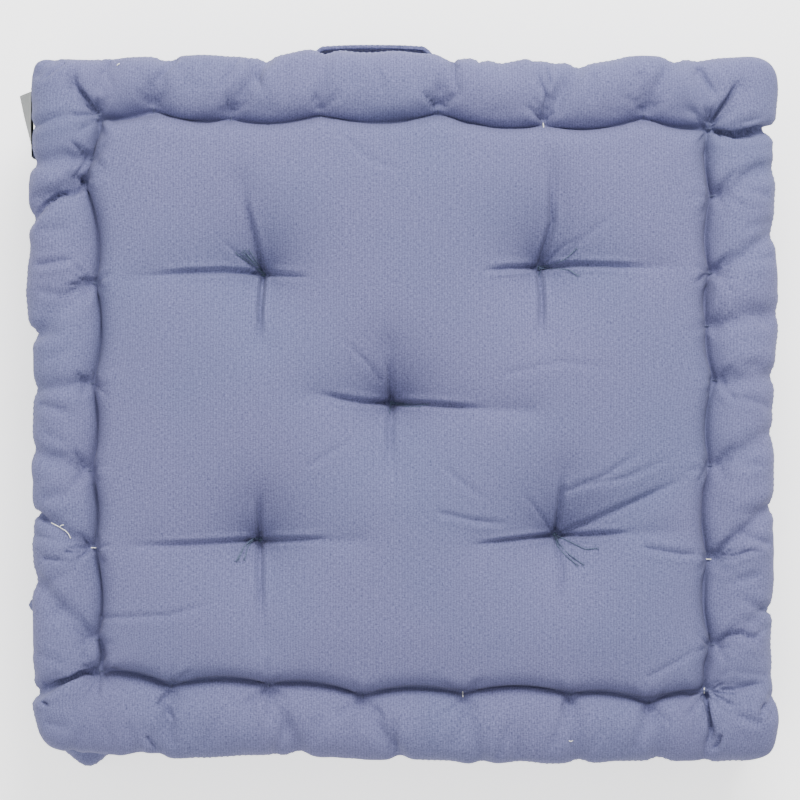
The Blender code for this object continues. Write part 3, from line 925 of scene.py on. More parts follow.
    def inset_from(self, side: Side, places: np.ndarray) -> np.ndarray:
        """Distance of each place inward from a side's outer edge."""
        return self.half[side.across] - side.sign * places[:, side.across]

    def shaped(self, places: np.ndarray, pattern: np.ndarray) -> np.ndarray:
        """The sewn places with the groove's scallops, the creases, the crown and the tufts' hollows."""
        made = places.copy()
        above = pattern[:, 2] <= self.band_cells / 2
        for side in Side:
            inset = self.inset_from(side, places)
            along = places[:, side.along]
            shift = self.groove_at(side, along) - self.groove_inset
            weight = np.interp(inset, [2 * MM, self.groove_inset, 80 * MM], [0, 1, 0])
            other = self.half[side.along] - np.abs(along)
            weight = weight * smooth((other - 20 * MM) / (25 * MM)) * above
            made[:, side.across] -= side.sign * shift * weight
        plan = made[:, :2]
        dent = np.zeros(len(made))
        for crease in (*CORNER_FOLDS, *self.stitch_creases()):
            gap, share = distance_to_line(plan, crease.line)
            fade = smooth(share / 0.12 + 0.35) * smooth((1 - share) / 0.2 + 0.35)
            section = np.exp(-((gap / (crease.width * MM)) ** 2) * 1.4)
            dent = np.maximum(dent, crease.depth * MM * section * fade)
        made = self.dented(made, np.where(above, dent, 0), pattern)
        for x, y, dx, dy, reach in BOTTOM_CORNERS:
            gap = np.hypot(made[:, 0] - x * MM, made[:, 1] - y * MM)
            lower = smooth((self.middle - 6 * MM - made[:, 2]) / (18 * MM))
            push = np.exp(-((gap / (reach * MM)) ** 2)) * lower
            made[:, :2] += push[:, None] * np.array([dx, dy]) * MM
        return self.field_shaped(made, pattern)

    def stitch_creases(self) -> list[Crease]:
        """The crease that each stitch pulls across its roll."""
        made = []
        for side, stitches in STITCHES.items():
            reach = self.half[side.across] / MM
            for s in stitches[1:-1]:
                ends = (side.place(s.along, reach - s.inset + 1), side.place(s.notch, reach + 2))
                made.append(Crease(ends, *self.stitch_pull))
        return made

    def dented(self, places: np.ndarray, dent: np.ndarray, pattern: np.ndarray) -> np.ndarray:
        """Moves the roll's cloth towards the middle of the roll.

        Args:
            places: the vertices' places.
            dent: how far each goes in.
            pattern: column, row and band row of each vertex.

        Returns:
            The new places.
        """
        made = places.copy()
        edge = np.array(self.half) - self.roll_half_width
        core = np.clip(places[:, :2], -edge, edge)
        rise = np.where(pattern[:, 2] <= self.band_cells / 2, self.seam_rise, -self.seam_rise)
        within = np.array(self.half) - self.groove_inset - 2 * MM
        in_roll = np.any(np.abs(places[:, :2]) > within, axis=1)
        axis = np.column_stack([np.where(in_roll[:, None], core, places[:, :2]), self.middle + rise])
        away = places - axis
        length = np.linalg.norm(away, axis=1)
        length = np.where(length > 1e-6, length, 1)
        move = np.minimum(dent, length * 0.8) * in_roll
        return made - away / length[:, None] * move[:, None]

    def field_shaped(self, places: np.ndarray, pattern: np.ndarray) -> np.ndarray:
        """Crowns the field, and draws it in at the tufts and along the folds between them."""
        made = places.copy()
        for below, level in ((False, 0), (True, self.band_cells + 1)):
            on = pattern[:, 2] == level
            plan = places[on, :2]
            reach = np.min(np.array(self.half) - np.abs(plan), axis=1)
            inside = smooth((reach - 46 * MM) / (30 * MM))
            rise = self.crown * inside
            for tuft in TUFTS:
                gap = tuft.gap(plan)
                pull = 0.55 * np.exp(-gap / (9 * MM)) + 0.45 * np.exp(-((gap / (34 * MM)) ** 2))
                rise -= tuft.depth * MM * pull * (0.8 if below else 1.0)
            if not below:
                for fold in FIELD_FOLDS:
                    gap, _ = distance_to_line(plan, fold.line)
                    rise -= self.fold_gain * fold.depth * MM * np.exp(-gap / (fold.width * MM)) * inside
            made[on, 2] += -rise if below else rise
        return made

    def held(self, pattern: np.ndarray, sewn: np.ndarray) -> np.ndarray:
        """How firmly each vertex is held where it was sewn, from 0 to 1.

        Args:
            pattern: column, row and band row of each vertex.
            sewn: the vertices' places.

        Returns:
            The weights.
        """
        (_, rx, _), (_, ry, _) = self.split(pattern, 0), self.split(pattern, 1)
        ring = np.maximum(rx, ry)
        on_panel = (pattern[:, 2] == 0) | (pattern[:, 2] == self.band_cells + 1)
        weight = np.where(on_panel & (ring < 2), 0.22, 0.0)
        weight = np.where(on_panel & (ring == self.shoulder_cells), 1.0, weight)
        plan = sewn[:, :2]
        for tuft in TUFTS:
            weight = np.where(on_panel & (tuft.gap(plan) < 4.5 * MM), 1.0, weight)
        top = pattern[:, 2] <= self.band_cells / 2
        for crease in CORNER_FOLDS:
            gap, _ = distance_to_line(plan, crease.line)
            on_fold = top & (gap < self.fold_reach) & (sewn[:, 2] > self.middle + 20 * MM)
            weight = np.where(on_fold, np.maximum(weight, 1.0 if crease.tight else 0.75), weight)
        for crease in self.stitch_creases():
            gap, share = distance_to_line(plan, crease.line)
            firm = (share < 0.35) | (share > 0.75)
            weight = np.where(top & (gap < self.fold_reach) & firm, np.maximum(weight, 0.7), weight)
        row = np.abs(sewn[:, 2] - self.middle)
        groove = ~on_panel & (np.abs(row - 16 * MM) < 2.5 * MM)
        for side, stitches in STITCHES.items():
            near = self.inset_from(side, sewn) < 16 * MM
            for s in stitches:
                at = np.abs(sewn[:, side.along] - s.notch * MM) < 3 * MM
                weight = np.where(groove & near & at, 1.0, weight)
        return np.where(groove, np.maximum(weight, 0.25), weight)

    def simulate(self, obj: bpy.types.Object, cut: np.ndarray, weight: np.ndarray) -> np.ndarray:
        """Blows the sewn cover up with its filling's pressure.

        Args:
            obj: the cover in its sewn places.
            cut: the vertices' places in the cloth as cut, which give its real lengths.
            weight: how firmly each vertex is held.

        Returns:
            The vertices' places after the simulation.
        """
        obj.shape_key_add(name="sewn")
        key = obj.shape_key_add(name="cut")
        key.data.foreach_set("co", cut.astype(np.float32).ravel())
        key.value = 0
        group = obj.vertex_groups.new(name="held")
        for value in np.unique(weight[weight > 0]):
            group.add([int(k) for k in np.flatnonzero(weight == value)], float(value), "REPLACE")
        cloth = obj.modifiers.new("Cloth", "CLOTH")
        for name, value in CLOTH_SETTINGS.items():
            setattr(cloth.settings, name, value)
        cloth.settings.uniform_pressure_force = self.pressure
        cloth.settings.vertex_group_mass = group.name
        cloth.settings.pin_stiffness = 50
        cloth.settings.effector_weights.gravity = 0
        cloth.settings.rest_shape_key = key
        cloth.collision_settings.use_collision = False
        cloth.point_cache.frame_start = 1
        cloth.point_cache.frame_end = self.steps
        for step in range(1, self.steps + 1):
            bpy.context.scene.frame_set(step)
        graph = bpy.context.evaluated_depsgraph_get()
        shaped = obj.evaluated_get(graph).to_mesh()
        made = read(shaped.vertices, "co", 3).astype(float)
        obj.modifiers.remove(cloth)
        obj.shape_key_clear()
        obj.vertex_groups.clear()
        bpy.context.scene.frame_set(1)
        return made

    def settled(self, places: np.ndarray, sewn: np.ndarray, pattern: np.ndarray) -> np.ndarray:
        """Caps the cloth's travel, keeps roll and field apart at the groove, and rests it on the floor."""
        move = places - sewn
        length = np.linalg.norm(move, axis=1)
        scale = np.minimum(1, self.most_move / np.maximum(length, 1e-9))
        made = sewn + move * scale[:, None]
        (_, rx, sx), (_, ry, sy) = self.split(pattern, 0), self.split(pattern, 1)
        ring = np.maximum(rx, ry)
        top = pattern[:, 2] == 0
        for side in Side:
            inset = self.inset_from(side, made)
            line = self.groove_at(side, made[:, side.along])
            others = self.half[side.along] - np.abs(made[:, side.along])
            inner = others > line
            out, sign = ((rx, sx), (ry, sy))[side.across]
            own = (out > self.shoulder_cells) & (sign == side.sign)
            roll = top & inner & own & (inset > line - self.clearance)
            land = top & inner & (ring < self.shoulder_cells) & (inset < line + self.clearance)
            for strayed, step in ((roll, self.clearance), (land, -self.clearance)):
                edge = side.sign * (self.half[side.across] - line + step)
                made[:, side.across] = np.where(strayed, edge, made[:, side.across])
        low = self.floor_round
        z = made[:, 2]
        made[:, 2] = np.where(z < low, low * np.exp(np.minimum(z - low, 0) / low), z)
        return made

    def build(self) -> bpy.types.Object:
        """Cuts, sews, fills and dresses the cover, and returns it."""
        mesh = self.pattern_mesh()
        pattern = np.round(read(mesh.attributes["pattern"].data, "vector", 3).astype(float))
        cut = read(mesh.vertices, "co", 3).astype(float)
        self.add_uv(mesh, cut)
        sewn = self.shaped(self.sewn_places(pattern), pattern)
        write_places(mesh, sewn)
        obj = placed("cover", mesh)
        places = sewn
        places = self.simulate(obj, cut, self.held(pattern, sewn))
        places = self.settled(places, sewn, pattern)
        mesh.attributes.remove(mesh.attributes["pattern"])
        self.set_places(mesh, places)
        self.refine(obj)
        obj.data.shade_smooth()
        obj.data.materials.append(self.finish.make())
        return obj

    def refine(self, obj: bpy.types.Object) -> None:
        """Halves the cover's cells once, for good, and presses the small wrinkles into it.

        Args:
            obj: the cover.
        """
        finer = obj.modifiers.new("Subdivision", "SUBSURF")
        finer.levels = finer.render_levels = 1
        graph = bpy.context.evaluated_depsgraph_get()
        mesh = bpy.data.meshes.new_from_object(obj.evaluated_get(graph))
        obj.modifiers.remove(finer)
        coarse = obj.data
        obj.data = mesh
        bpy.data.meshes.remove(coarse)
        mesh.name = "cover"
        self.split_near(mesh, self.near_lines(self.local_places(mesh)))
        local = self.swollen(self.local_places(mesh))
        self.set_places(mesh, local)
        normals = read(mesh.vertex_normals, "vector", 3)
        moves = Wrinkles(self.half).heights(local, local[:, 2] > self.middle + self.upper)
        made = local + normals * moves[:, None]
        made[:, 2] = np.maximum(made[:, 2], self.floor_gap)
        self.set_places(mesh, made)

    def local_places(self, mesh: bpy.types.Mesh) -> np.ndarray:
        """The vertices' places from the cushion's middle on the floor."""
        return read(mesh.vertices, "co", 3).astype(float) - np.array([self.centre.x, self.centre.y, 0])

    def set_places(self, mesh: bpy.types.Mesh, local: np.ndarray) -> None:
        """Puts the vertices at places counted from the cushion's middle."""
        write_places(mesh, local + np.array([self.centre.x, self.centre.y, 0]))
        mesh.update()

    def near_lines(self, local: np.ndarray) -> np.ndarray:
        """Whether each vertex of the top lies beside a sharp fold or a tuft's line."""
        near = np.zeros(len(local), bool)
        plan = local[:, :2]
        for crease in (*ROLL_LINES, *TUFT_LINES):
            reach = 2.4 * crease.width * MM
            inside = np.flatnonzero(crease.boxed(plan, reach) & (local[:, 2] > self.middle + self.upper))
            if len(inside):
                gap, _ = distance_to_line(plan[inside], crease.line)
                near[inside[gap < reach]] = True
        return near

    @staticmethod
    def split_near(mesh: bpy.types.Mesh, near: np.ndarray) -> None:
        """Splits the cells between marked vertices once more.

        Args:
            mesh: the cover's mesh.
            near: one mark for each vertex.
        """
        bm = bmesh.new()
        bm.from_mesh(mesh)
        bm.verts.ensure_lookup_table()
        marked = {bm.verts[int(k)] for k in np.flatnonzero(near)}
        edges = [e for e in bm.edges if e.verts[0] in marked and e.verts[1] in marked]
        bmesh.ops.subdivide_edges(bm, edges=edges, cuts=1, use_grid_fill=True)
        bm.to_mesh(mesh)
        bm.free()

    def swollen(self, local: np.ndarray) -> np.ndarray:
        """Swells each side's upper roll past the even outline, or draws it in.

        Args:
            local: places from the cushion's middle.

        Returns:
            The new places.
        """
        made = local.copy()
        for side, swells in OUTLINE.items():
            at, swell = (np.array(column) * MM for column in zip(*swells))
            inset = self.inset_from(side, local)
            level = smooth((local[:, 2] - self.middle + 4 * MM) / (16 * MM))
            share = smooth((34 * MM - inset) / (32 * MM)) * level
            made[:, side.across] += side.sign * share * np.interp(local[:, side.along], at, swell)
        return made

    def add_uv(self, mesh: bpy.types.Mesh, cut: np.ndarray) -> None:
        """Lays the cloth's UV map in metres, as it was cut.

        Args:
            mesh: the cover in its cut places.
            cut: the same places as an array.
        """
        layer = mesh.uv_layers.new(name="cloth")
        corners = read(mesh.loops, "vertex_index", 1, np.int32).ravel()
        sizes = read(mesh.polygons, "loop_total", 1, np.int32).ravel()
        facing = np.repeat(np.abs(read(mesh.polygons, "normal", 3)).argmax(axis=1), sizes)
        co = cut[corners]
        u = np.where(facing == 0, co[:, 1], co[:, 0])
        v = np.where(facing == 2, co[:, 1], co[:, 2])
        layer.data.foreach_set("uv", np.column_stack([u, v]).astype(np.float32).ravel())


@dataclass(frozen=True)
class YarnFinish:
    """A spun cotton yarn: a base colour with lighter fibres, and a matt face."""

    name: str
    colour: tuple[float, float, float]
    fleck: tuple[float, float, float]

    def make(self) -> bpy.types.Material:
        """The yarn's material."""
        material, tree, shader = principled(self.name)
        place = node(tree, "TexCoord").outputs["Object"]
        fibre = node(tree, "TexNoise", Scale=1400.0, Detail=3.0, Roughness=0.65, Vector=place).outputs["Fac"]
        spread = node(tree, "MapRange", From_Min=0.35, From_Max=0.7, Value=fibre)
        colour = coloured(tree, spread.outputs["Result"], self.colour, self.fleck)
        dressed(
            tree, shader, colour, fibre, (0.08 * MM, 0.5),
            Roughness=0.85, Specular_IOR_Level=0.25, Sheen_Weight=0.1,
        )
        return material


@dataclass(frozen=True)
class TapeFinish:
    """A narrow woven tape with fine ribs across it."""

    name: str = "label_tape"
    light: tuple[float, float, float] = (0.27, 0.28, 0.27)
    dark: tuple[float, float, float] = (0.17, 0.18, 0.18)
    rib: float = 0.9 * MM

    def make(self) -> bpy.types.Material:
        """The tape's material, which follows its own UV map in metres."""
        material, tree, shader = principled(self.name)
        uv = node(tree, "UVMap", uv_map="cloth").outputs["UV"]
        ribs = node(
            tree, "TexWave", bands_direction="Y", wave_profile="SIN",
            Vector=uv, Scale=WAVES / self.rib, Distortion=0.6,
        ).outputs["Fac"]
        grain = node(tree, "TexNoise", Scale=700.0, Detail=3.0, Vector=uv).outputs["Fac"]
        colour = coloured(tree, worked(tree, "MULTIPLY", ribs, grain), self.dark, self.light)
        dressed(tree, shader, colour, ribs, (0.1 * MM, 0.5), Roughness=0.8, Specular_IOR_Level=0.25)
        return material


@dataclass(frozen=True)
class Yarn:
    """A twisted yarn: its radius, its plies, the length of one turn, and the sides of its section."""

    radius: float
    plies: int = 2
    lead: float = 3.2 * MM
    sides: int = 8

    def lay(self, bm: bmesh.types.BMesh, points: list[Vector], step: float = 0.5 * MM) -> None:
        """Sweeps the yarn along a smooth line through some points.

        Args:
            bm: the mesh that it is added to.
            points: the points that it passes through.
            step: distance between its rings.
        """
        line = self.smooth_line(points, step)
        ring = bmesh.ops.create_circle(bm, segments=self.sides, radius=self.radius)["verts"]
        for v in ring:
            turn = math.atan2(v.co.y, v.co.x)
            v.co *= 0.88 + 0.16 * math.cos(self.plies * turn)
        frame_now = self.frame_at(line, 0, 0)
        bmesh.ops.transform(bm, matrix=frame_now, verts=ring)
        first = list({e for v in ring for e in v.link_edges})
        edges = first
        for k in range(1, len(line)):
            ring, edges = extruded(bm, edges)
            frame_next = self.frame_at(line, k, 2 * math.pi * k * step / self.lead)
            bmesh.ops.transform(bm, matrix=frame_next @ frame_now.inverted(), verts=ring)
            frame_now = frame_next
        for end in (first, edges):
            bmesh.ops.edgeloop_fill(bm, edges=end)

    @staticmethod
    def smooth_line(points: list[Vector], step: float) -> list[Vector]:
        """Points at even steps along a Catmull-Rom curve through the given points."""
        padded = [2 * points[0] - points[1], *points, 2 * points[-1] - points[-2]]
        fine = []
        for a, b, c, d in zip(padded, padded[1:], padded[2:], padded[3:]):
            for share in np.linspace(0, 1, 12, endpoint=False):
                t = float(share)
                square = (2 * a - 5 * b + 4 * c - d) * t**2
                cube = (3 * b - a - 3 * c + d) * t**3
                fine.append(0.5 * (2 * b + (c - a) * t + square + cube))
        fine.append(points[-1].copy())
        run = np.concatenate([[0.0], np.cumsum([(q - p).length for p, q in zip(fine, fine[1:])])])
        count = max(2, round(run[-1] / step) + 1)
        at = np.linspace(0, run[-1], count)
        co = np.array(fine)
        return [Vector(p) for p in np.column_stack([np.interp(at, run, co[:, k]) for k in range(3)])]

    @staticmethod
    def frame_at(line: list[Vector], k: int, twist: float) -> Matrix:
        """Place and turn of the yarn's section at one point of its line.

        Args:
            line: the line's points.
            k: which point.
            twist: the plies' turn there, in radians.

        Returns:
            The section's matrix, with the line's direction as its Z.
        """
        along = (line[min(k + 1, len(line) - 1)] - line[max(k - 1, 0)]).normalized()
        side = Vector((0.31, -0.22, 0.92)).cross(along)
        if side.length < 0.05:
            side = Vector((1, 0, 0)).cross(along)
        side.normalize()
        up = along.cross(side)
        turned = Matrix((side, up, along)).transposed().to_4x4() @ Matrix.Rotation(twist, 4, "Z")
        turned.translation = line[k]
        return turned


def piece(name: str, bm: bmesh.types.BMesh, material: bpy.types.Material) -> bpy.types.Object:
    """Makes an object of a finished bmesh.

    Args:
        name: the piece's name.
        bm: its mesh, which is freed.
        material: its finish.

    Returns:
        The object, at the origin.
    """
    bmesh.ops.recalc_face_normals(bm, faces=bm.faces)
    mesh = mesh_of(name, bm)
    mesh.materials.append(material)
    mesh.shade_smooth()
    return placed(name, mesh)


@dataclass
class Surface:
    """The finished cover's face, for threads to lie on."""

    tree: BVHTree
    centre: Vector

    @classmethod
    def of(cls, cover: bpy.types.Object, centre: Vector) -> "Surface":
        """The face of a finished cover.

        Args:
            cover: the cover's object.
            centre: the cushion's middle on the floor.

        Returns:
            The surface.
        """
        bpy.context.view_layer.update()
        return cls(BVHTree.FromObject(cover, bpy.context.evaluated_depsgraph_get()), centre)

    def top(self, x: float, y: float, lift: float = 0) -> Vector:
        """The point above a place, in millimetres from the centre, on the cover's top and a lift over it."""
        start = Vector((self.centre.x + x * MM, self.centre.y + y * MM, 0.3))
        hit = self.tree.ray_cast(start, Vector((0, 0, -1)))[0]
        return hit + Vector((0, 0, lift))

    def under(self, x: float, y: float, drop: float = 0) -> Vector:
        """The point under a place, in millimetres from the centre, on the cover's base and a drop below."""
        start = Vector((self.centre.x + x * MM, self.centre.y + y * MM, -0.1))
        hit = self.tree.ray_cast(start, Vector((0, 0, 1)))[0]
        return hit - Vector((0, 0, drop))

    def side(self, side: Side, along: float, z: float, lift: float = 0) -> Vector:
        """The point on the band, a lift proud of it.

        Args:
            side: the side looked at.
            along: place along it in millimetres from the centre.
            z: height in metres.
            lift: how far outside the cloth.

        Returns:
            The point.
        """
        out = Vector((0, 0, 0))
        out[side.across] = side.sign
        start = self.centre + out * 0.4
        start[side.along] = self.centre[side.along] + along * MM
        start.z = z
        return self.tree.ray_cast(start, -out)[0] + out * lift

    def stitch(
        self, side: Side, along: float, z: float, steps: Steps, reach: float, climb: float = 0
    ) -> list[Vector]:
        """The points of a stitch on the band.

        Args:
            side: the side looked at.
            along: the stitch's middle along it, in millimetres from the centre.
            z: its middle's height in metres.
            steps: for each point its share of the reach, from -1 to 1, and its lift in millimetres.
            reach: half its length along the side, in millimetres.
            climb: half its height in metres.

        Returns:
            The points.
        """
        return [self.side(side, along + run * reach, z + run * climb, lift * MM) for run, lift in steps]


@dataclass
class RollStitches:
    """The stitches through the necks of the rolls, seen in the top grooves and in those of the band."""

    surface: Surface
    middle: float
    half: tuple[float, float]
    yarn: Yarn = Yarn(0.42 * MM, sides=6)
    reach: float = 2.0
    side_groove: float = 15.5 * MM
    white: tuple[tuple[Side, int], ...] = (
        (Side.BACK, 5),
        (Side.FRONT, 4),
        (Side.FRONT, 7),
        (Side.LEFT, 2),
        (Side.RIGHT, 2),
    )

    def build(self) -> list[bpy.types.Object]:
        """Makes one piece for each side and roll, and one for the stitches in undyed thread."""
        blue = YarnFinish("roll_thread", (0.06, 0.066, 0.14), (0.15, 0.165, 0.28)).make()
        undyed = YarnFinish("natural_thread", (0.74, 0.72, 0.66), (0.95, 0.94, 0.9)).make()
        made = []
        pale = bmesh.new()
        for side in Side:
            for above in (True, False):
                bm = bmesh.new()
                for k, stitch in enumerate(STITCHES[side]):
                    shows = above and (side, k) in self.white
                    self.in_groove(pale if shows else bm, side, stitch, above)
                    self.in_band(bm, side, stitch, above)
                level = "top" if above else "bottom"
                obj = piece(f"{level}_stitches_{side.name.lower()}", bm, blue)
                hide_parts(f"roll_stitching_{level}_{side.name.lower()}")
                made.append(obj)
        natural = piece("undyed_stitches", pale, undyed)
        return [*made, natural]

    def in_groove(self, bm: bmesh.types.BMesh, side: Side, stitch: Stitch, above: bool) -> None:
        """Lays one stitch across the groove between roll and field.

        Args:
            bm: the mesh that it is added to.
            side: the roll's side.
            stitch: the stitch.
            above: whether it is on the top roll.
        """
        points = []
        for run, sink in GROOVE_STEPS:
            out = self.half[side.across] / MM - stitch.inset + run * self.reach
            place = side.place(stitch.along, out)
            if above:
                points.append(self.surface.top(*place, lift=-sink * MM))
            else:
                points.append(self.surface.under(*place, drop=-sink * MM))
        heights = [p.z for p in points]
        points[2].z = (heights[1] + heights[3]) / 2 - (0.5 * MM if above else -0.5 * MM)
        self.yarn.lay(bm, points)

    def in_band(self, bm: bmesh.types.BMesh, side: Side, stitch: Stitch, above: bool) -> None:
        """Lays one stitch in the groove between roll and band.

        Args:
            bm: the mesh that it is added to.
            side: the band's side.
            stitch: the stitch.
            above: whether it belongs to the top roll.
        """
        rise = self.side_groove if above else -self.side_groove
        limit = self.half[side.along] / MM - 24
        along = max(-limit, min(limit, stitch.notch))
        points = self.surface.stitch(side, along, self.middle + rise, BAND_STEPS, self.reach)
        self.yarn.lay(bm, points)


@dataclass
class Tufts:
    """The five tufts: a knot in each hollow, a tassel beside it, and a bar stitch underneath."""

    surface: Surface
    strand: Yarn = Yarn(0.42 * MM, lead=2.4 * MM)
    bar_reach: float = 3.5
    knot_turns: tuple[float, int] = (2.5, 16)

    def build(self) -> list[bpy.types.Object]:
        """Makes the five ties."""
        thread = YarnFinish("tuft_thread", (0.028, 0.036, 0.07), (0.13, 0.17, 0.27)).make()
        made = []
        for tuft in TUFTS:
            bm = bmesh.new()
            self.knot(bm, tuft)
            for strand in tuft.strands:
                self.tail(bm, tuft, strand)
            self.bar(bm, tuft)
            obj = piece(tuft.node.replace("tuft_tie", "tassel"), bm, thread)
            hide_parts(tuft.node)
            made.append(obj)
        return made

    def knot(self, bm: bmesh.types.BMesh, tuft: TuftPlace) -> None:
        """Winds the knot: two turns and a half, the last one crossing over.

        Args:
            bm: the mesh that it is added to.
            tuft: the tuft.
        """
        points = []
        turns = np.linspace(0, *self.knot_turns)
        for turn in turns:
            angle = 2 * math.pi * turn
            out = 1.3 - 0.25 * turn
            x, y = tuft.x + out * math.cos(angle), tuft.y + out * math.sin(angle)
            points.append(self.surface.top(x, y, (0.2 + 0.35 * turn) * MM))
        low = min(p.z for p in points)
        for turn, p in zip(turns, points):
            p.z = min(p.z, low + (0.6 + 0.4 * turn) * MM)
        self.strand.lay(bm, points, 0.4 * MM)

    def tail(self, bm: bmesh.types.BMesh, tuft: TuftPlace, strand: tuple[tuple[float, float], ...]) -> None:
        """Lays one strand of the tassel on the cloth, with three fibres fraying from its end.

        Args:
            bm: the mesh that it is added to.
            tuft: the tuft.
            strand: the strand's points from the knot, in millimetres.
        """
        points = [self.surface.top(tuft.x, tuft.y, 0.8 * MM)]
        for x, y in strand:
            points.append(self.surface.top(tuft.x + x, tuft.y + y, 0.55 * MM))
        self.strand.lay(bm, points)
        along = (points[-1] - points[-2]).normalized()
        across = along.cross(Vector((0, 0, 1)))
        fibre = Yarn(0.16 * MM, lead=4 * MM, sides=5)
        for spread in (-0.5, 0.0, 0.55):
            end = points[-1] + (along + across * spread) * 2.2 * MM
            halfway = (points[-1] + end) / 2 + Vector((0, 0, 0.2 * MM))
            fibre.lay(bm, [points[-1] - along * 0.4 * MM, halfway, end])

    def bar(self, bm: bmesh.types.BMesh, tuft: TuftPlace) -> None:
        """Lays the bar stitch under the cushion.

        Args:
            bm: the mesh that it is added to.
            tuft: the tuft.
        """
        reach = self.bar_reach
        points = [
            self.surface.under(tuft.x + run * reach, tuft.y + 0.3 * run, drop * MM)
            for run, drop in BAR_STEPS
        ]
        self.strand.lay(bm, points)


@dataclass
class SeamThreads:
    """The sewing of the cover: small stitches sunk in the seams of the panels and of the band's corners."""

    surface: Surface
    middle: float
    half: tuple[float, float]
    seam_rise: float
    yarn: Yarn = Yarn(0.34 * MM, plies=2, sides=5)
    pitch: float = 3.6
    stitch: float = 2.4

    def build(self) -> list[bpy.types.Object]:
        """Makes the two panel seams, the four corner seams and the closing stitches."""
        finish = YarnFinish("seam_thread", (0.15, 0.163, 0.29), (0.28, 0.3, 0.44)).make()
        made = []
        for level, sign in (("top", 1), ("bottom", -1)):
            bm = bmesh.new()
            for side in Side:
                self.run(bm, side, self.middle + sign * self.seam_rise)
            obj = piece(f"{level}_seam_stitches", bm, finish)
            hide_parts(f"{level}_seam_thread")
            made.append(obj)
        for side in Side:
            obj = piece(f"corner_stitches_{side.name.lower()}", self.corner(side), finish)
            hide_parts(f"corner_seam_thread_{side.name.lower()}")
            made.append(obj)
        closing = piece("closing_stitches", self.closing(), finish)
        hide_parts("opening_closing_thread")
        made.append(closing)
        return made

    def run(self, bm: bmesh.types.BMesh, side: Side, z: float) -> None:
        """Sews along one side at one height.

        Args:
            bm: the mesh that the stitches are added to.
            side: the side.
            z: the seam's height.
        """
        end = self.half[side.along] / MM - 14
        for along in np.arange(-end, end, self.pitch):
            points = self.surface.stitch(side, float(along), z, SEAM_STEPS, self.stitch / 2)
            self.yarn.lay(bm, points, 1.0 * MM)

    def corner(self, side: Side) -> bmesh.types.BMesh:
        """Sews up the band's corner at one end of a side: front at its left, and on round anticlockwise."""
        bm = bmesh.new()
        first = {Side.FRONT: -1, Side.RIGHT: -1, Side.BACK: 1, Side.LEFT: 1}[side]
        along = first * (self.half[side.along] / MM - 15)
        for rise in np.arange(-20, 20, self.pitch):
            z = self.middle + float(rise) * MM
            points = self.surface.stitch(side, along, z, SEAM_STEPS, 0, self.stitch / 2 * MM)
            self.yarn.lay(bm, points, 1.0 * MM)
        return bm

    def closing(self) -> bmesh.types.BMesh:
        """Whips the filling's opening shut with slanted stitches along the front seam under the band."""
        bm = bmesh.new()
        low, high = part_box("opening_closing_thread")
        centre = self.surface.centre.x
        z = self.middle - self.seam_rise
        for x in np.arange((low.x - centre) / MM, (high.x - centre) / MM, 5.5):
            points = self.surface.stitch(Side.FRONT, float(x), z, CLOSING_STEPS, 1.6, 2.2 * MM)
            self.yarn.lay(bm, points, 0.8 * MM)
        return bm


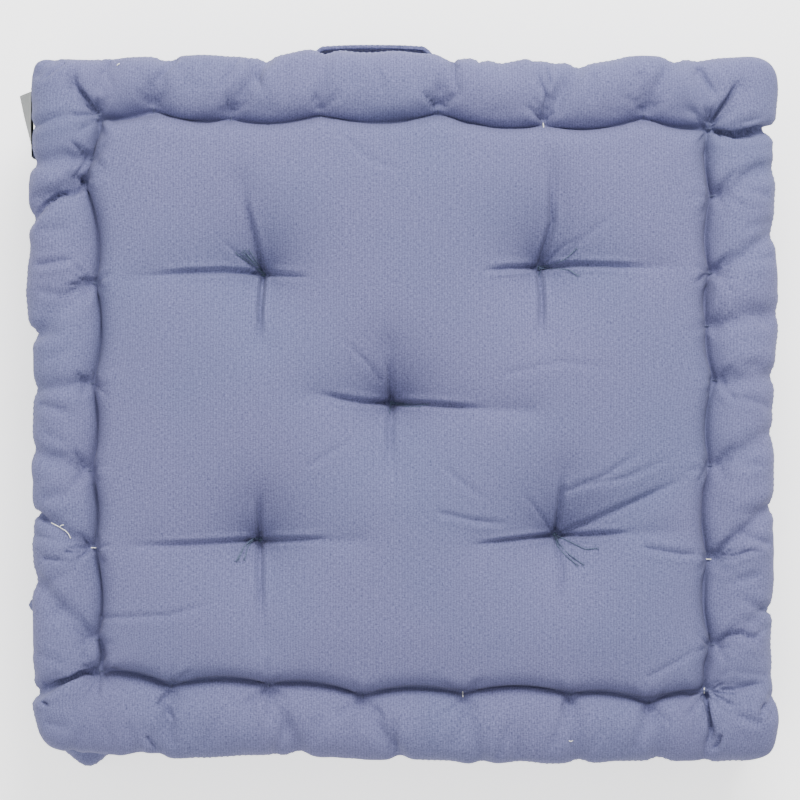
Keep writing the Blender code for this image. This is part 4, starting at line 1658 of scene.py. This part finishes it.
@dataclass
class CarryStrap:
    """The carry strap: a doubled strip of canvas with stitched edges, sewn to the band at both ends."""

    finish: CanvasFinish
    surface: Surface
    width: float = field(init=False)
    inner: float = field(init=False)
    outer: float = field(init=False)
    middle: Vector = field(init=False)
    half_span: float = field(init=False)
    thickness: float = 2.6 * MM
    flat_top: float = 30 * MM
    foot: float = 43 * MM
    lean: float = -6 * MM
    slack: float = 3.4 * MM

    def __post_init__(self) -> None:
        """Takes the strap's place and size from the frame."""
        left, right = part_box("handle_end_left"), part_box("handle_end_right")
        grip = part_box("handle_grip")
        self.width = grip[1].z - grip[0].z
        self.inner = left[0].y
        self.outer = grip[1].y
        self.middle = Vector(((left[0].x + right[1].x) / 2, self.inner, (grip[0].z + grip[1].z) / 2))
        self.half_span = (right[1].x - left[0].x) / 2

    def line(self, run: float) -> float:
        """How far the strap's middle stands out at a distance along from its own centre."""
        rise = self.outer - self.inner - self.thickness + self.slack
        run -= self.lean
        share = min(1.0, max(0.0, (self.foot - abs(run)) / (self.foot - self.flat_top)))
        arch = 1 - 0.06 * (run / self.flat_top) ** 2 if abs(run) < self.flat_top else 0.94
        return self.inner + self.thickness / 2 + rise * arch * share * share * (3 - 2 * share)

    def build(self) -> list[bpy.types.Object]:
        """Makes the strap and its sewing."""
        strap = piece("carry_strap", self.strip(), self.finish.make())
        self.add_uv(strap)
        bevel = strap.modifiers.new("Bevel", "BEVEL")
        bevel.width = 0.7 * MM
        bevel.segments = 2
        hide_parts("handle_grip", "handle_end_left", "handle_end_right")
        thread = YarnFinish("strap_thread", (0.19, 0.205, 0.35), (0.34, 0.36, 0.5)).make()
        edges = piece("strap_edge_stitches", self.edge_stitches(), thread)
        sewing = []
        for name, sign in (("left", -1), ("right", 1)):
            box = piece(f"strap_sewing_{name}", self.end_stitches(sign), thread)
            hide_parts(f"handle_stitching_{name}")
            sewing.append(box)
        return [strap, edges, *sewing]

    def strip(self) -> bmesh.types.BMesh:
        """The bent strip, with its thickness."""
        bm = bmesh.new()
        bmesh.ops.create_grid(bm, x_segments=96, y_segments=10, size=1)
        for v in bm.verts:
            run, across = v.co.x * self.half_span, v.co.y * self.width / 2
            ripple = 0.5 * MM * noise.noise(Vector((run * 45, across * 60, 0.4)))
            cup = 0.5 * MM * (v.co.y**2 - 0.4)
            free = min(1.0, max(0.0, (self.foot + 6 * MM - abs(run)) / (10 * MM)))
            sag = 0.8 * MM * free * math.sin(run * 30)
            out = self.line(run) + (ripple - cup) * free
            v.co = Vector((self.middle.x + run, out, self.middle.z + across + sag))
        bmesh.ops.recalc_face_normals(bm, faces=bm.faces)
        if sum(f.normal.y for f in bm.faces) > 0:
            bmesh.ops.reverse_faces(bm, faces=bm.faces)
        bmesh.ops.translate(bm, verts=bm.verts, vec=(0, -self.thickness / 2, 0))
        bmesh.ops.solidify(bm, geom=bm.faces, thickness=self.thickness)
        return bm

    def add_uv(self, strap: bpy.types.Object) -> None:
        """Lays the canvas's UV map on the strap, in metres along and across it."""
        mesh = strap.data
        layer = mesh.uv_layers.new(name="cloth")
        for loop, data in zip(mesh.loops, layer.data):
            co = mesh.vertices[loop.vertex_index].co
            data.uv = (co.x, co.z + co.y * 0.4)

    def edge_stitches(self) -> bmesh.types.BMesh:
        """A row of stitches near each long edge, on the strap's outer face."""
        bm = bmesh.new()
        yarn = Yarn(0.28 * MM, sides=5)
        for edge in (-1, 1):
            z = self.middle.z + edge * (self.width / 2 - 2.4 * MM)
            for run in np.arange(-self.half_span + 4 * MM, self.half_span - 4 * MM, 3.4 * MM):
                ends = [float(run), float(run) + 1.2 * MM, float(run) + 2.4 * MM]
                out = self.thickness / 2 + 0.1 * MM
                points = [Vector((self.middle.x + r, self.line(r) + out, z)) for r in ends]
                points[0].y -= 0.5 * MM
                points[2].y -= 0.5 * MM
                yarn.lay(bm, points, 0.8 * MM)
        return bm

    def end_stitches(self, sign: int) -> bmesh.types.BMesh:
        """The box and cross that hold one end to the band.

        Args:
            sign: -1 for the left end, 1 for the right.

        Returns:
            The stitches.
        """
        bm = bmesh.new()
        yarn = Yarn(0.36 * MM, sides=5)
        far = self.half_span - 3 * MM
        near = self.foot + 10 * MM
        tall = self.width / 2 - 3.2 * MM
        corners = [(near, -tall), (far, -tall), (far, tall), (near, tall)]
        box = list(zip(corners, corners[1:] + corners[:1]))
        cross = [(corners[0], corners[2]), (corners[1], corners[3])]
        for (x0, z0), (x1, z1) in box + cross:
            length = math.hypot(x1 - x0, z1 - z0)
            count = max(2, round(length / (3.2 * MM)))
            for k in range(count):
                shares = [(k + part) / count for part in (0.12, 0.5, 0.88)]
                points = []
                for share, sink in zip(shares, (0.5, 0, 0.5)):
                    run = sign * (x0 + (x1 - x0) * share)
                    y = self.line(run) + self.thickness / 2 + (0.15 - sink) * MM
                    points.append(Vector((self.middle.x + run, y, self.middle.z + z0 + (z1 - z0) * share)))
                yarn.lay(bm, points, 0.8 * MM)
        return bm


@dataclass
class Label:
    """The blank label: a folded tape sewn into the seam at the back of the left side."""

    finish: TapeFinish
    sag: float = 1.2 * MM
    gap: float = 1.1 * MM
    twist: float = 0.26
    shift: float = 3 * MM

    def build(self) -> bpy.types.Object:
        """Makes the folded tape in the label's own box."""
        low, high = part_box("blank_label")
        bm = bmesh.new()
        bmesh.ops.create_grid(bm, x_segments=24, y_segments=36, size=1)
        root = Vector((high.x, 0, high.z))
        tip = Vector((low.x, 0, low.z))
        along = tip - root
        across = Vector((-along.z, 0, along.x)).normalized()
        half = (high.y - low.y) / 2
        drop = along.length
        tape = []
        for v in bm.verts:
            share = (v.co.y + 1) / 2
            down = 1 - abs(2 * share - 1)
            face = -1 if share < 0.5 else 1
            part = math.sqrt(max(0.0, 1 - down**10))
            ripple = 0.5 * MM * noise.noise(Vector((v.co.x * 1.4, down * 2, 3)))
            bow = self.sag * math.sin(down * math.pi * 0.8) + ripple
            y = (low.y + high.y) / 2 + self.shift + v.co.x * half * (1 - 0.03 * down)
            flare = 1 + 0.5 * (1 - abs(v.co.x))
            swing = -self.twist * v.co.x * half * down
            place = root + along * down + across * (face * part * self.gap / 2 * flare - bow * down + swing)
            tape.append((half * v.co.x, drop * 2 * share))
            v.co = Vector((place.x, y, place.z))
        layer = bm.loops.layers.uv.new("cloth")
        bm.verts.index_update()
        for f in bm.faces:
            for loop in f.loops:
                loop[layer].uv = tape[loop.vert.index]
        bmesh.ops.solidify(bm, geom=bm.faces, thickness=0.35 * MM)
        label = piece("label", bm, self.finish.make())
        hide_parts("blank_label")
        return label


@dataclass
class LooseEnds:
    """A stray end of undyed thread on the left roll, and two specks of lint."""

    surface: Surface

    def build(self) -> bpy.types.Object:
        """Makes the thread and the lint."""
        bm = bmesh.new()
        thread = Yarn(0.32 * MM, sides=6)
        lines = (
            ((-212.5, -69.5), (-207.4, -72.0), (-202.8, -75), (-200.6, -78.8)),
            ((-207.4, -72.0), (-206.2, -71.0), (-204.6, -70.6)),
            ((101, -201), (102, -201.6), (103.2, -201.2)),
            ((-172.6, 207.6), (-172, 208.4), (-171, 208.8)),
        )
        for line in lines:
            thread.lay(bm, [self.surface.top(x, y, 0.45 * MM) for x, y in line])
        finish = YarnFinish("lint", (0.78, 0.77, 0.72), (0.97, 0.96, 0.93)).make()
        obj = piece("loose_thread", bm, finish)
        return obj


@dataclass
class Studio:
    """The pale floor, the soft lights and the camera straight above."""

    view_width: float = 0.4852
    lens: float = 135.0
    aim: tuple[float, float] = (-1.2 * MM, 4.9 * MM)
    focus_height: float = 0.09
    floor_glow: float = 1.1
    world_strength: float = 1.25

    def build(self, centre: Vector) -> None:
        """Sets up the floor, the lights and the camera.

        Args:
            centre: the cushion's middle on the floor.
        """
        self.floor()
        self.lights()
        self.camera(centre)

    def floor(self) -> None:
        """A wide, nearly white floor."""
        bm = bmesh.new()
        bmesh.ops.create_grid(bm, x_segments=2, y_segments=2, size=6)
        mesh = mesh_of("floor", bm)
        floor = placed("floor", mesh)
        material, _, shader = principled("floor")
        shader.inputs["Base Color"].default_value = (0.9, 0.9, 0.9, 1)
        shader.inputs["Roughness"].default_value = 0.8
        shader.inputs["Emission Color"].default_value = (1, 1, 1, 1)
        shader.inputs["Emission Strength"].default_value = self.floor_glow
        mesh.materials.append(material)

    def lights(self) -> None:
        """A pale world, and a wide light above the back."""
        world = bpy.data.worlds.new("studio")
        world.use_nodes = True
        background = world.node_tree.nodes["Background"]
        background.inputs["Color"].default_value = (1, 1, 1, 1)
        background.inputs["Strength"].default_value = self.world_strength
        bpy.context.scene.world = world
        for name, place, size, power in (
            ("key", Vector((0.25, 1.15, 1.15)), 0.7, 48),
            ("fill", Vector((-0.9, -0.5, 1.8)), 1.6, 14),
        ):
            light = bpy.data.lights.new(name, "AREA")
            light.size = size
            light.energy = power
            lamp = placed(name, light)
            lamp.location = place
            lamp.rotation_euler = (-place).to_track_quat("-Z", "Y").to_euler()

    def camera(self, centre: Vector) -> None:
        """A long lens that looks straight down.

        Args:
            centre: the cushion's middle on the floor.
        """
        data = bpy.data.cameras.new("camera")
        data.lens = self.lens
        camera = placed("camera", data)
        drop = self.view_width * self.lens / data.sensor_width
        camera.location = centre + Vector((self.aim[0], self.aim[1], self.focus_height + drop))
        bpy.context.scene.camera = camera


def main() -> None:
    """Builds the cushion's looks piece by piece."""
    logging.basicConfig(level=logging.INFO, format="%(message)s")
    cover = Cover(CanvasFinish())
    canvas = cover.build()
    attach(canvas, "cushion")
    bands = [f"side_band_{side.name.lower()}" for side in Side]
    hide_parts("top_panel", "bottom_panel", "filling", *bands)
    log.info("cover: %d vertices", len(canvas.data.vertices))
    surface = Surface.of(canvas, cover.centre)
    threads = [
        *RollStitches(surface, cover.middle, cover.half).build(),
        *Tufts(surface).build(),
        *SeamThreads(surface, cover.middle, cover.half, cover.seam_rise).build(),
        LooseEnds(surface).build(),
    ]
    for obj in threads:
        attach(obj, "cushion")
    log.info("threads: %d pieces", len(threads))
    maker = CarryStrap(cover.finish, surface)
    strap, edges, *sewing = maker.build()
    for obj in (strap, edges):
        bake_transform(obj)
    for obj in sewing:
        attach(obj, "cushion")
    log.info("carry strap ready")
    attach(Label(TapeFinish()).build(), "label")
    log.info("label ready")
    Studio().build(cover.centre)
    log.info("studio ready")


if __name__ == "__main__":
    main()
